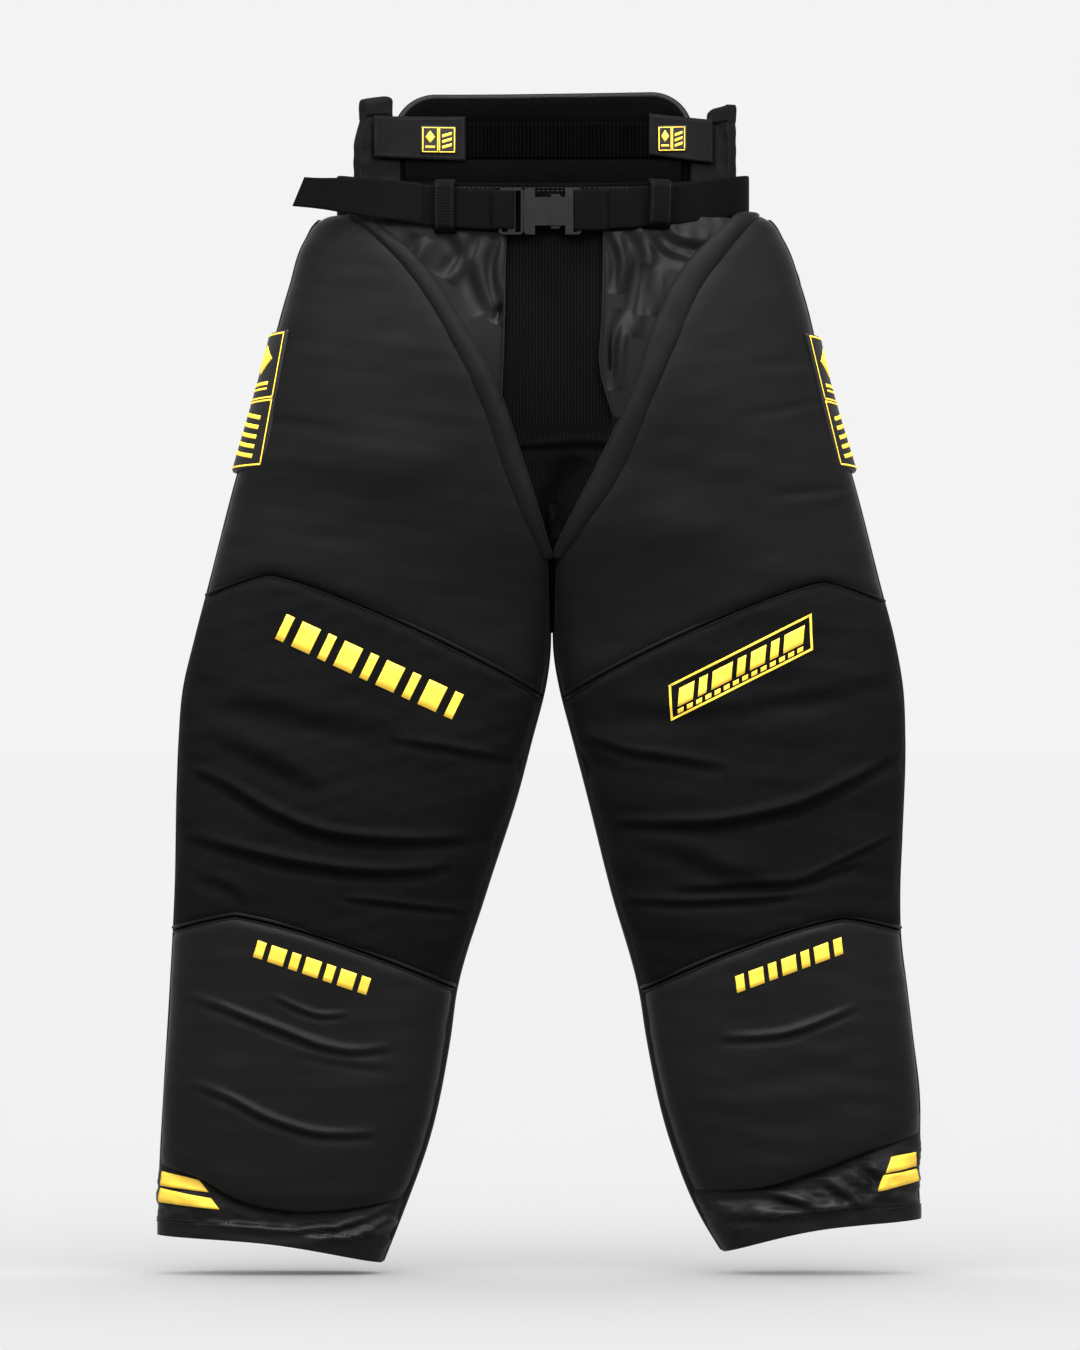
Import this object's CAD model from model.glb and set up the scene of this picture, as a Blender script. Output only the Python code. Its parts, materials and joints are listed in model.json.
import json
import math
import bpy
import numpy as np
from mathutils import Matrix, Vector

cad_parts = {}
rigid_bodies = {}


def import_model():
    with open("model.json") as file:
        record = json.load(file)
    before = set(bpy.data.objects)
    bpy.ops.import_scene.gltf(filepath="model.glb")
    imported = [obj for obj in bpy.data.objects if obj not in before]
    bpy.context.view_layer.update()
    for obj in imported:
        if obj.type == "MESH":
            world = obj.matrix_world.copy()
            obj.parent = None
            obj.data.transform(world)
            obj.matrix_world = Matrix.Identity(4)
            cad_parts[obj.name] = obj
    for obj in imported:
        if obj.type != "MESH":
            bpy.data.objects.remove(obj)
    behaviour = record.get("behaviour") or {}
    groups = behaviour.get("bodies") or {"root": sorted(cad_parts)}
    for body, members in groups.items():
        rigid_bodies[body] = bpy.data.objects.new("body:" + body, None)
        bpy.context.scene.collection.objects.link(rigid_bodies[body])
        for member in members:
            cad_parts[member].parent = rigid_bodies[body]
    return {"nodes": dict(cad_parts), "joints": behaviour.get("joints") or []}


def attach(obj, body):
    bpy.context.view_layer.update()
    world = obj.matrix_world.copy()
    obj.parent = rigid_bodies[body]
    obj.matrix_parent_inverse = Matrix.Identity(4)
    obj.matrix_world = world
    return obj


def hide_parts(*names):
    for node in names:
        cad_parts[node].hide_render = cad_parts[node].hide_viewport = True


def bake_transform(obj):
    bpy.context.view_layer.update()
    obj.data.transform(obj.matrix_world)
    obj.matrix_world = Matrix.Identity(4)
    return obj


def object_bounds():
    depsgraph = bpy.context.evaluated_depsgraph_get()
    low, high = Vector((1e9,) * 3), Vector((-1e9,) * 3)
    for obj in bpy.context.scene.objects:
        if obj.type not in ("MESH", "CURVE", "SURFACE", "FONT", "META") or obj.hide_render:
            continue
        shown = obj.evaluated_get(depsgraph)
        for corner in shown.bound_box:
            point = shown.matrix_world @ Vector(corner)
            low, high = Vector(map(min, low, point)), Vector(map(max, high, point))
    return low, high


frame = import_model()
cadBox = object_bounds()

print("frame loaded")
pi = math.pi
sideName = {-1: "right", 1: "left"}  # the wearer's; -1 is towards -X
hinge = {j["name"]: j for j in frame["joints"]}
hipZ, kneeZ = hinge["left_hip"]["pos_m"][2], hinge["left_knee"]["pos_m"][2]

# Sizes in metres. The waist and the depths are the frame's own.
size = dict(waistW=0.202, waistD=0.084, beltDip=0.007, beltRise=0.011, backRise=0.118,
            bellyD=0.090, seatD=0.104, kneeD=0.062, hemD=0.048, crotchZ=-0.352, hemZ=-1.042,
            powX=2.6, powY=2.2)


# the value that is a share t of the way from a to b
def mix(a, b, t):
    return a + (b - a) * t


# 0 before a, 1 after b, and an s-shaped rise between
def smooth(a, b, x):
    t = np.clip((x - a) / (b - a), 0, 1)
    return t * t * (3 - 2 * t)


# a quarter circle's rise: 0 at 0, 1 from 1 on, steep at first
def dome(q):
    return np.sqrt(1 - (1 - np.clip(q, 0, 1)) ** 2)


# the crown of a sheet over its two shares: a quarter circle's fall at each edge, a or b of the way wide
def crown(u, v, a, b):
    return dome(u / a) * dome((1 - u) / a) * dome(v / b) * dome((1 - v) / b)


# shares from 0 to 1, moved a part of the way to a cosine's, which crowd at both ends
def crowd(v, part):
    return mix(v, 0.5 - 0.5 * np.cos(pi * v), part)


# each vector divided by its own length
def unit(v):
    return v / np.linalg.norm(v, axis=-1, keepdims=True)


# the same direction, count times
def repeated(direction, count):
    return np.tile(direction, (count, 1))


# a smooth curve through a few (place, value) points: cubic pieces whose slopes are those of their neighbours
def curve(points):
    t, v = np.array(sorted(points), float).T
    slope = np.gradient(v, t)

    def at(x):
        x = np.clip(x, t[0], t[-1])
        k = np.clip(np.searchsorted(t, x) - 1, 0, len(t) - 2)
        h = t[k + 1] - t[k]
        q = (x - t[k]) / h
        return ((2 * q**3 - 3 * q**2 + 1) * v[k] + (q**3 - 2 * q**2 + q) * h * slope[k]
                + (3 * q**2 - 2 * q**3) * v[k + 1] + (q**3 - q**2) * h * slope[k + 1])
    return at


# many points on the smooth curve through a few points of a path
def smoothPath(points, count=40):
    p = np.array(points, float)
    t = np.linspace(0, len(p) - 1, count)
    return np.stack([curve(list(enumerate(p[:, k])))(t) for k in range(p.shape[1])], -1)


# smooth seeded noise about 0: sines of random direction whose wave is about size long
def ripple(a, b, length, seed, count=9):
    rng = np.random.default_rng(seed)
    total = 0
    for k in range(count):
        turn, wave, start = rng.uniform(0, 2 * pi), length * rng.uniform(0.7, 1.6), rng.uniform(0, 2 * pi)
        total = total + np.sin(2 * pi * (a * math.cos(turn) + b * math.sin(turn)) / wave + start)
    return total / math.sqrt(count)


# a valley along a path over (x, z) that fades at both ends, with a raised lip above it
def crease(x, z, path, width, depth, lip=0.7):
    p = smoothPath(path, 22)
    lengths = np.hypot(*(p[1:] - p[:-1]).T)
    near, signed, along, done = np.full(x.shape, 9.0), np.zeros(x.shape), np.zeros(x.shape), 0
    for a, b, length in zip(p[:-1], p[1:], lengths):
        ux, uz = (b - a) / length
        t = np.clip((x - a[0]) * ux + (z - a[1]) * uz, 0, length)
        dx, dz = x - a[0] - t * ux, z - a[1] - t * uz
        far = np.hypot(dx, dz)
        closer = far < near
        near = np.where(closer, far, near)
        signed = np.where(closer, np.sign(ux * dz - uz * dx) * far, signed)
        along = np.where(closer, done + t, along)
        done += length
    fade = np.sin(pi * np.clip(along / done, 0, 1)) ** 0.6
    q = signed / width
    return fade * depth * (lip * np.exp(-(q - 1.5) ** 2) - np.exp(-q * q))


# Half widths from the middle line, by height: each leg's outer edge, its inner edge, and the thigh pad's
# inner edge.
legOuter = {
    -1: curve([(-1.055, 0.386), (-0.98, 0.386), (-0.88, 0.381), (-0.78, 0.375),
               (-0.68, 0.370), (-0.58, 0.368), (-0.53, 0.366),
               (-0.482, 0.362), (-0.43, 0.350), (-0.38, 0.337), (-0.28, 0.3115),
               (-0.18, 0.283), (-0.08, 0.256),
               (-0.032, 0.240), (-0.011, 0.225), (0, 0.205)]),
    1: curve([(-1.055, 0.381), (-0.98, 0.378), (-0.88, 0.378), (-0.83, 0.372),
              (-0.78, 0.366), (-0.73, 0.360), (-0.68, 0.359),
              (-0.63, 0.361), (-0.53, 0.364), (-0.482, 0.362), (-0.43, 0.353),
              (-0.38, 0.340), (-0.28, 0.3145), (-0.18, 0.285),
              (-0.08, 0.2605), (-0.032, 0.2425), (-0.011, 0.228), (0, 0.210)])}
legInner = {
    -1: curve([(-1.055, 0.161), (-1.007, 0.142), (-0.932, 0.115), (-0.832, 0.094),
               (-0.782, 0.087), (-0.682, 0.057),
               (-0.582, 0.025), (-0.532, 0.012), (-0.482, -0.001), (-0.445, -0.0075),
               (-0.352, -0.009), (-0.1, 0)]),
    1: curve([(-1.055, 0.187), (-1.007, 0.158), (-0.932, 0.128), (-0.832, 0.105),
              (-0.782, 0.097), (-0.682, 0.069),
              (-0.582, 0.044), (-0.532, 0.031), (-0.482, 0.018), (-0.445, 0.0105),
              (-0.352, 0.009), (-0.1, 0)])}
padInner = {
    -1: curve([(-0.006, 0.190), (-0.039, 0.153), (-0.083, 0.116), (-0.145, 0.080),
               (-0.189, 0.058), (-0.274, 0.028), (-0.351, -0.0065)]),
    1: curve([(-0.004, 0.212), (-0.041, 0.181), (-0.076, 0.155), (-0.138, 0.126),
              (-0.189, 0.104), (-0.274, 0.067), (-0.351, 0.0115)])}
bindInner = {
    -1: curve([(-0.006, 0.178), (-0.050, 0.127), (-0.116, 0.080), (-0.175, 0.047),
               (-0.248, 0.021), (-0.347, -0.010)]),
    1: curve([(-0.004, 0.196), (-0.061, 0.140), (-0.116, 0.111), (-0.182, 0.089),
              (-0.252, 0.056), (-0.343, 0.0095)])}


# half of the depth at a height; the belly is flatter than the seat
depthCurve = {f: curve([(size["hemZ"], size["hemD"]), (-0.607, size["kneeD"]),
                        (-0.445, size["kneeD"] + 0.005),
                        (hipZ, mix(size["bellyD"] if f < 0 else size["seatD"], size["kneeD"], 0.3)),
                        (-0.176, size["bellyD"] if f < 0 else size["seatD"]),
                        (-0.032, size["waistD"]), (0.03, size["waistD"])])
              for f in (-1, 1)}


# a rounded profile: 1 at 0, falling to 0 at -1 and 1 as a superellipse does
def roundAt(s):
    return np.maximum(0, 1 - np.abs(s) ** size["powX"]) ** (1 / size["powY"])


# A point of the front (face -1) or back (face 1): s goes from the inner edge to the side seam, z is the height.
# Above the crotch both legs share one oval; below it each has its own, and the two are mixed between.
def bodyPoint(side, face, s, z):
    leg = smooth(-hipZ, 0.460, -z)
    low, out = legInner[side](z), legOuter[side](z)
    y = depthCurve[face](z) * mix(roundAt(s), roundAt(2 * s - 1), leg)
    return np.stack([side * (low + s * (out - low)), face * y, z + 0 * s], -1)


# the outward direction there, from two small steps over the surface
def bodyNormal(side, face, s, z, step=0.004):
    ds = bodyPoint(side, face, np.minimum(s + step, 1), z) - bodyPoint(side, face, np.maximum(s - step, 0), z)
    dz = bodyPoint(side, face, s, z + step) - bodyPoint(side, face, s, z - step)
    n = np.cross(ds, dz) * -side * face
    return n / np.maximum(np.linalg.norm(n, axis=-1, keepdims=True), 1e-9)


# which share of the way across its leg a place x is
def shareAt(side, x, z):
    low, out = legInner[side](z), legOuter[side](z)
    return np.clip((side * x - low) / (out - low), 0, 1)


# heights of the seams by share: above and below the knee panel, where the shin pad tucks under, and the hem
kneeTopZ = {-1: (-0.487, -0.367, -0.390), 1: (-0.489, -0.374, -0.396)}
kneeBottomZ = {-1: (-0.780, -0.707, -0.722), 1: (-0.782, -0.709, -0.722)}
hemEndZ = {-1: (-1.054, -1.034, -1.026), 1: (-1.043, -1.020, -1.010)}


# A seam's height by share: from its inner end up to its peak and down to its outer end, each side as a power.
def seamZ(ends, peak=0.82):
    def at(s):
        inward = mix(ends[1], ends[0], np.clip(1 - s / peak, 0, 1) ** 1.25)
        outward = mix(ends[1], ends[2], np.clip((s - peak) / (1 - peak), 0, 1) ** 1.3)
        return np.where(s < peak, inward, outward)
    return at


# a hem's height by share: a smooth curve through its inner end, its middle and its outer end
def bowZ(ends):
    return curve([(0, ends[0]), (0.5, ends[1]), (1, ends[2])])


kneeTop = {k: seamZ(kneeTopZ[k]) for k in (-1, 1)}
kneeBottom = {k: seamZ(kneeBottomZ[k], 0.79) for k in (-1, 1)}
padEnd = {-1: curve([(0, -0.990), (0.25, -1.0), (0.5, -1.0), (0.70, -0.987), (0.83, -0.969), (1, -0.956)]),
          1: curve([(0, -0.982), (0.3, -0.978), (0.55, -0.962), (0.8, -0.940), (1, -0.925)])}
hemEnd = {k: bowZ(hemEndZ[k]) for k in (-1, 1)}

materials = {}  # by name, filled below


# Points and faces as a mesh with cloth coordinates, a material, a slot and the body or bodies it moves with.
def finishPiece(name, points, faces, uv, material, slot, moves):
    mesh = bpy.data.meshes.new(name)
    points = np.ascontiguousarray(points, np.float32)
    faces = np.ascontiguousarray(faces, np.int32)
    mesh.vertices.add(len(points))
    mesh.vertices.foreach_set("co", points.ravel())
    mesh.loops.add(faces.size)
    mesh.loops.foreach_set("vertex_index", faces.ravel())
    mesh.polygons.add(len(faces))
    mesh.polygons.foreach_set("loop_start", np.arange(len(faces), dtype=np.int32) * faces.shape[1])
    mesh.polygons.foreach_set("use_smooth", np.full(len(faces), True))
    mesh.update(calc_edges=True)
    layer = mesh.uv_layers.new(name="cloth")
    layer.data.foreach_set("uv", np.ascontiguousarray(uv, np.float32)[faces.ravel()].ravel())
    mesh.validate()
    piece = bpy.data.objects.new(name, mesh)
    bpy.context.scene.collection.objects.link(piece)
    mesh.materials.append(materials[material])
    follow(piece, moves)
    return piece


# A piece rides on one body, or bends from one to the next: over the belt's free stretch, across the groin, or
# over a stretch of height at the knee.
def follow(piece, moves):
    if isinstance(moves, str):
        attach(piece, moves)
    else:
        kind, side = moves
        if kind == "belt":  # the webbing bunches up under its loop as the plug comes out
            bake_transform(piece)
        elif kind == "hip":
            # across the slant of the groin, so the crotch itself stays put
            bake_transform(piece)
        else:
            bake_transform(piece)


# the faces of a grid of rows by cols points, whose last column joins its first where asked
def gridFaces(rows, cols, aroundCols=False):
    r = np.arange(rows - 1)
    c = np.arange(cols if aroundCols else cols - 1)
    r, c = np.meshgrid(r, c, indexing="ij")
    r1, c1 = r + 1, (c + 1) % cols
    return np.stack([r * cols + c, r * cols + c1, r1 * cols + c1, r1 * cols + c], -1).reshape(-1, 4)


# cloth coordinates in metres: the length along each row, measured from its middle, and along each column
def gridUv(points):
    across = np.linalg.norm(np.diff(points, axis=1), axis=-1)
    u = np.concatenate([np.zeros((points.shape[0], 1)), np.cumsum(across, 1)], 1)
    down = np.linalg.norm(np.diff(points, axis=0), axis=-1)
    v = np.concatenate([np.zeros((1, points.shape[1])), np.cumsum(down, 0)], 0)
    return np.stack([u - u[:, -1:] / 2, v], -1)


# a closed shell: an outer grid, an inner grid, and the rim between them
def shell(name, outer, inner, material, slot, moves):
    rows, cols = outer.shape[:2]
    count = rows * cols
    front = gridFaces(rows, cols)
    index = np.arange(count).reshape(rows, cols)
    ring = np.concatenate([index[0, :-1], index[:-1, -1], index[-1, :0:-1], index[:0:-1, 0]])
    following = np.roll(ring, -1)
    rim = np.stack([ring, ring + count, following + count, following], -1)
    faces = np.concatenate([front, front[:, ::-1] + count, rim])
    e = outer[:-1, 1:] - outer[:-1, :-1]
    f = outer[1:, :-1] - outer[:-1, :-1]
    if np.sum(np.cross(e, f) * (outer - inner)[:-1, :-1]) < 0:
        faces = faces[:, ::-1]
    uv = gridUv(outer).reshape(-1, 2)
    return finishPiece(name, np.concatenate([outer.reshape(-1, 3), inner.reshape(-1, 3)]), faces,
                       np.concatenate([uv, uv]), material, slot, moves)


# a closed profile carried along a path: across and out are the two directions of the profile at each point
def sweep(name, path, across, out, profile, material, slot, moves, scale=None):
    path, across, out = (np.array(a, float) for a in (path, across, out))
    count, sides = len(path), len(profile)
    scale = np.ones(count) if scale is None else scale
    points = (path[:, None] + across[:, None] * (profile[None, :, :1] * scale[:, None, None])
              + out[:, None] * (profile[None, :, 1:] * scale[:, None, None]))
    faces = gridFaces(count, sides, aroundCols=True)
    caps = []
    for start in (0, (count - 1) * sides):
        half = sides // 2
        ids = start + np.arange(sides)
        strip = np.stack([ids[:half - 1], ids[1:half], ids[::-1][1:half], ids[::-1][:half - 1]], -1)
        caps.append(strip[:, ::-1] if start == 0 else strip)
    faces = np.concatenate([faces] + caps)
    area = np.sum(profile[:, 0] * np.roll(profile[:, 1], -1) - np.roll(profile[:, 0], -1) * profile[:, 1])
    along = np.gradient(path, axis=0)
    if np.sum(np.cross(across, out) * along) * area < 0:
        faces = faces[:, ::-1]
    run = np.concatenate([[0], np.cumsum(np.linalg.norm(np.diff(path, axis=0), axis=1))])
    uv = np.stack([np.broadcast_to(profile[None, :, 0], (count, sides)),
                   np.broadcast_to(run[:, None], (count, sides))], -1)
    return finishPiece(name, points.reshape(-1, 3), faces, uv.reshape(-1, 2), material, slot, moves)


# a circle of points, flattened by a factor
def roundProfile(radius, sides=10, flat=1.0):
    a = np.arange(sides) / sides * 2 * pi + pi / sides
    return np.stack([radius * np.cos(a), radius * flat * np.sin(a)], -1)


# a flat strap's outline, thinner towards both edges by a steep power
def strapProfile(width, thick, cuts=9):
    edge = np.linspace(-1, 1, cuts)
    x = np.sin(edge * pi / 2) * width / 2
    y = thick / 2 * (1 - np.abs(edge) ** 7 * 0.75)
    return np.concatenate([np.stack([x, y], -1), np.stack([x[::-1], -y[::-1]], -1)])


# a thin cord laid along a path on a surface whose outward directions are given
def piping(name, path, out, radius, material, slot, moves, flat=1.0, sides=10):
    along = np.gradient(path, axis=0)
    across = unit(np.cross(along, out))
    return sweep(name, path, across, out, roundProfile(radius, sides, flat), material, slot, moves)


# a row of stitches along a path: each is a short spindle of five rings of six points
def stitches(name, path, out, moves, slot="webbing", length=0.0032, gap=0.0014, radius=0.00035):
    path, out = np.array(path, float), np.array(out, float)
    run = np.concatenate([[0], np.cumsum(np.linalg.norm(np.diff(path, axis=0), axis=1))])
    starts = np.arange(gap, run[-1] - length, length + gap)
    ring, a = np.array([0, 0.12, 0.5, 0.88, 1]), np.arange(6) / 6 * 2 * pi
    bulge = np.array([0.15, 0.8, 1, 0.8, 0.15])
    at = (starts[:, None] + ring[None] * length).ravel()
    middle = np.stack([np.interp(at, run, path[:, k]) for k in range(3)], -1)
    up = np.stack([np.interp(at, run, out[:, k]) for k in range(3)], -1)
    along = np.gradient(path, axis=0)
    tangent = np.stack([np.interp(at, run, along[:, k]) for k in range(3)], -1)
    across = np.cross(tangent, up)
    across /= np.maximum(np.linalg.norm(across, axis=1, keepdims=True), 1e-9)
    r = (radius * np.tile(bulge, len(starts)))[:, None, None]
    points = (middle[:, None] + across[:, None] * r * np.cos(a)[None, :, None]
              + up[:, None] * r * np.sin(a)[None, :, None])
    one = gridFaces(5, 6, aroundCols=True)
    ends = np.array([[0, 1, 2, 3], [0, 3, 4, 5]])
    one = np.concatenate([one, ends, ends[:, ::-1] + 24])
    if np.sum(np.cross(across, up) * tangent) < 0:
        one = one[:, ::-1]
    faces = (one[None] + 30 * np.arange(len(starts))[:, None, None]).reshape(-1, 4)
    points = points.reshape(-1, 3)
    return finishPiece(name, points, faces, points[:, :2], "thread", slot, moves)


# a hex colour in the shader's linear values: each channel through the screen's curve, undone
def linear(hexColour):
    c = np.array([int(hexColour[k:k + 2], 16) for k in (1, 3, 5)]) / 255
    return tuple(np.where(c <= 0.04045, c / 12.92, ((c + 0.055) / 1.055) ** 2.4)) + (1.0,)


# a node with its settings, and its sockets linked or set
def addNode(tree, kind, links=None, **settings):
    node = tree.nodes.new(kind)
    for key, value in settings.items():
        setattr(node, key, value)
    for socket, value in (links or {}).items():
        if isinstance(value, bpy.types.NodeSocket):
            tree.links.new(value, node.inputs[socket])
        else:
            node.inputs[socket].default_value = value
    return node


# the result of one sum worked out by a node
def maths(tree, operation, *values):
    return addNode(tree, "ShaderNodeMath", dict(enumerate(values)), operation=operation).outputs[0]


# Cloth: its yarns are drawn from the piece's own cloth coordinates, in metres.
# yarn is the distance between two threads in millimetres; pattern says how they cross.
def cloth(name, dark, light, yarn=1.2, pattern="plain", rough=0.6, shine=0.1,
          relief=0.15, sheen=0.0, mottle=0.25, grain=(60, 400), crumple=0.0):
    material = bpy.data.materials.new(name)
    material.use_nodes = True
    tree = material.node_tree
    tree.nodes.clear()
    uv = addNode(tree, "ShaderNodeUVMap", uv_map="cloth").outputs[0]
    parts = addNode(tree, "ShaderNodeSeparateXYZ", {0: uv})
    turns = 2000 * pi / yarn
    u = maths(tree, "MULTIPLY", parts.outputs[0], turns)
    v = maths(tree, "MULTIPLY", parts.outputs[1], turns)
    if pattern == "rib":  # ribs that run down the cloth
        yarns = maths(tree, "SINE", u)
    elif pattern == "cross":  # ribs that run across it
        yarns = maths(tree, "SINE", v)
    elif pattern == "twill":
        both = maths(tree, "ADD", u, v)
        yarns = maths(tree, "SINE", both)
    else:
        a = maths(tree, "SINE", u)
        b = maths(tree, "SINE", v)
        yarns = maths(tree, "MULTIPLY", a, b)
    stretch = addNode(tree, "ShaderNodeMapping", {"Vector": uv, "Scale": (grain[0], grain[1], 1)}).outputs[0]
    slub = addNode(tree, "ShaderNodeTexNoise", {"Vector": stretch, "Scale": 1.0,
                                                "Detail": 3.0}).outputs["Fac"]
    wide = addNode(tree, "ShaderNodeTexNoise", {"Vector": uv, "Scale": 9.0, "Detail": 2.0}).outputs["Fac"]
    tone = maths(tree, "MULTIPLY_ADD", yarns, 0.5 * mottle, slub)
    tone = maths(tree, "MULTIPLY_ADD", wide, 0.5, tone)
    share = addNode(tree, "ShaderNodeMapRange", {"Value": tone, "From Min": 0.35,
                                                 "From Max": 1.15}).outputs[0]
    colour = addNode(tree, "ShaderNodeMix", {0: share, 6: linear(dark), 7: linear(light)},
                     data_type="RGBA").outputs[2]
    dull = addNode(tree, "ShaderNodeMapRange", {"Value": tone, "From Min": 0.35, "From Max": 1.15,
                                                "To Min": min(rough + 0.06, 1),
                                                "To Max": rough - 0.06}).outputs[0]
    height = maths(tree, "MULTIPLY_ADD", slub, 0.8, yarns)
    bump = addNode(tree, "ShaderNodeBump", {"Height": height, "Strength": 0.6,
                                            "Distance": relief / 1000}).outputs[0]
    if crumple:
        crush = addNode(tree, "ShaderNodeMapping", {"Vector": uv, "Scale": (1, 1.6, 1)}).outputs[0]
        lump = addNode(tree, "ShaderNodeTexNoise", {"Vector": crush, "Scale": 38.0,
                                                    "Detail": 2.0, "Distortion": 1.2}).outputs["Fac"]
        bump = addNode(tree, "ShaderNodeBump", {"Height": lump, "Normal": bump,
                                                "Strength": 0.7, "Distance": crumple / 1000}).outputs[0]
    shader = addNode(tree, "ShaderNodeBsdfPrincipled", {"Base Color": colour,
                                                        "Roughness": dull, "Normal": bump,
                                                        "Specular IOR Level": shine,
                                                        "Sheen Weight": sheen, "Sheen Roughness": 0.4})
    addNode(tree, "ShaderNodeOutputMaterial", {0: shader.outputs[0]})
    materials[name] = material


# Moulded or printed plastic: an even colour with a fine grain, on Object coordinates.
def plastic(name, dark, light, rough, shine, grainMm=0.5, relief=0.05):
    material = bpy.data.materials.new(name)
    material.use_nodes = True
    tree = material.node_tree
    tree.nodes.clear()
    place = addNode(tree, "ShaderNodeTexCoord").outputs["Object"]
    grain = addNode(tree, "ShaderNodeTexNoise", {"Vector": place, "Scale": 1000 / grainMm,
                                                 "Detail": 2.0}).outputs["Fac"]
    wear = addNode(tree, "ShaderNodeTexNoise", {"Vector": place, "Scale": 60.0, "Detail": 4.0}).outputs["Fac"]
    colour = addNode(tree, "ShaderNodeMix", {0: wear, 6: linear(dark), 7: linear(light)},
                     data_type="RGBA").outputs[2]
    dull = addNode(tree, "ShaderNodeMapRange", {"Value": wear, "To Min": rough - 0.08,
                                                "To Max": rough + 0.08}).outputs[0]
    bump = addNode(tree, "ShaderNodeBump", {"Height": grain, "Strength": 0.5,
                                            "Distance": relief / 1000}).outputs[0]
    shader = addNode(tree, "ShaderNodeBsdfPrincipled", {"Base Color": colour,
                                                        "Roughness": dull, "Normal": bump,
                                                        "Specular IOR Level": shine})
    addNode(tree, "ShaderNodeOutputMaterial", {0: shader.outputs[0]})
    materials[name] = material


# Yarns finer than about 1 mm are drawn at 1 mm, the least that shows.
# calendered plain weave: a low, wide gloss
cloth("thigh polyamide", "#0a0a0b", "#101011", yarn=1.1, rough=0.42, shine=0.052,
      relief=0.10, sheen=0.02, grain=(40, 500))
# brushed twill: matt
cloth("knee polyester", "#060606", "#0e0e0e", yarn=1.6, pattern="twill",
      rough=0.75, shine=0.05, relief=0.2, grain=(80, 500))
# coated plain weave: a dry gloss
cloth("shin polyamide", "#0c0c0c", "#131313", yarn=1.3, rough=0.38, shine=0.09, relief=0.14, grain=(90, 600))
# filament satin: bright on its folds
cloth("satin", "#0b0b0c", "#121213", yarn=1.0, pattern="rib", rough=0.42,
      shine=0.075, relief=0.03, mottle=0.1, grain=(200, 60), crumple=0.12)
cloth("cuff satin", "#0c0c0d", "#141416", yarn=1.0, pattern="rib", rough=0.42,
      shine=0.10, relief=0.03, mottle=0.1, grain=(200, 60), crumple=0.25)
# stretch knit: soft ribs
cloth("rib knit", "#040404", "#09090a", yarn=3.2, pattern="rib", rough=0.85,
      shine=0.015, relief=0.7, mottle=0.8, grain=(500, 500))
# wide knitted elastic
cloth("elastic", "#010101", "#040404", yarn=4.2, pattern="rib", rough=0.85,
      shine=0.008, relief=1.0, mottle=0.9, grain=(500, 500))
# polyester webbing
cloth("webbing", "#030303", "#080808", yarn=1.6, pattern="cross", rough=0.6,
      shine=0.02, relief=0.25, mottle=0.5, grain=(600, 600))
cloth("band twill", "#020202", "#050505", yarn=1.1, pattern="twill", rough=0.6,
      shine=0.008, relief=0.12, grain=(300, 300))
cloth("tab fabric", "#09090a", "#0f0f11", yarn=1.2, pattern="twill", rough=0.55,
      shine=0.04, relief=0.12, grain=(300, 300))
# brushed lining: the darkest
cloth("lining mesh", "#020202", "#040404", yarn=2.4, rough=0.8, shine=0.008,
      relief=0.3, mottle=0.8, grain=(400, 400))
cloth("binding tape", "#0c0c0d", "#141415", yarn=1.2, pattern="cross", rough=0.5,
      shine=0.10, relief=0.1, grain=(300, 300))
cloth("thread", "#141414", "#202020", yarn=0.6, pattern="cross", rough=0.6,
      shine=0.15, relief=0.05, grain=(900, 900))
# moulded acetal: smooth, with a fine spark grain
plastic("acetal", "#040404", "#080808", rough=0.3, shine=0.28)
plastic("soft rubber", "#0a0a0a", "#111111", rough=0.5, shine=0.2, grainMm=0.8)
# screen-printed ink, a little uneven
plastic("yellow print", "#e9bd36", "#f4cb4c", rough=0.55, shine=0.2, grainMm=0.7, relief=0.04)
plastic("hook tape", "#0c0c0c", "#161616", rough=0.9, shine=0.05, grainMm=1.2, relief=0.6)
slotMaterial = {"kidney_mesh": "lining mesh", "ribbed_elastic": "elastic", "band_fabric": "band twill",
                "webbing": "webbing", "buckle_plastic": "acetal", "stretch_knit": "rib knit",
                "tab_fabric": "tab fabric", "hook_patch": "hook tape", "satin": "satin",
                "thigh_fabric": "thigh polyamide", "rubber_patch": "soft rubber", "foam": "lining mesh",
                "knee_fabric": "knee polyester", "shin_fabric": "shin polyamide"}
print("materials made")

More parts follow.
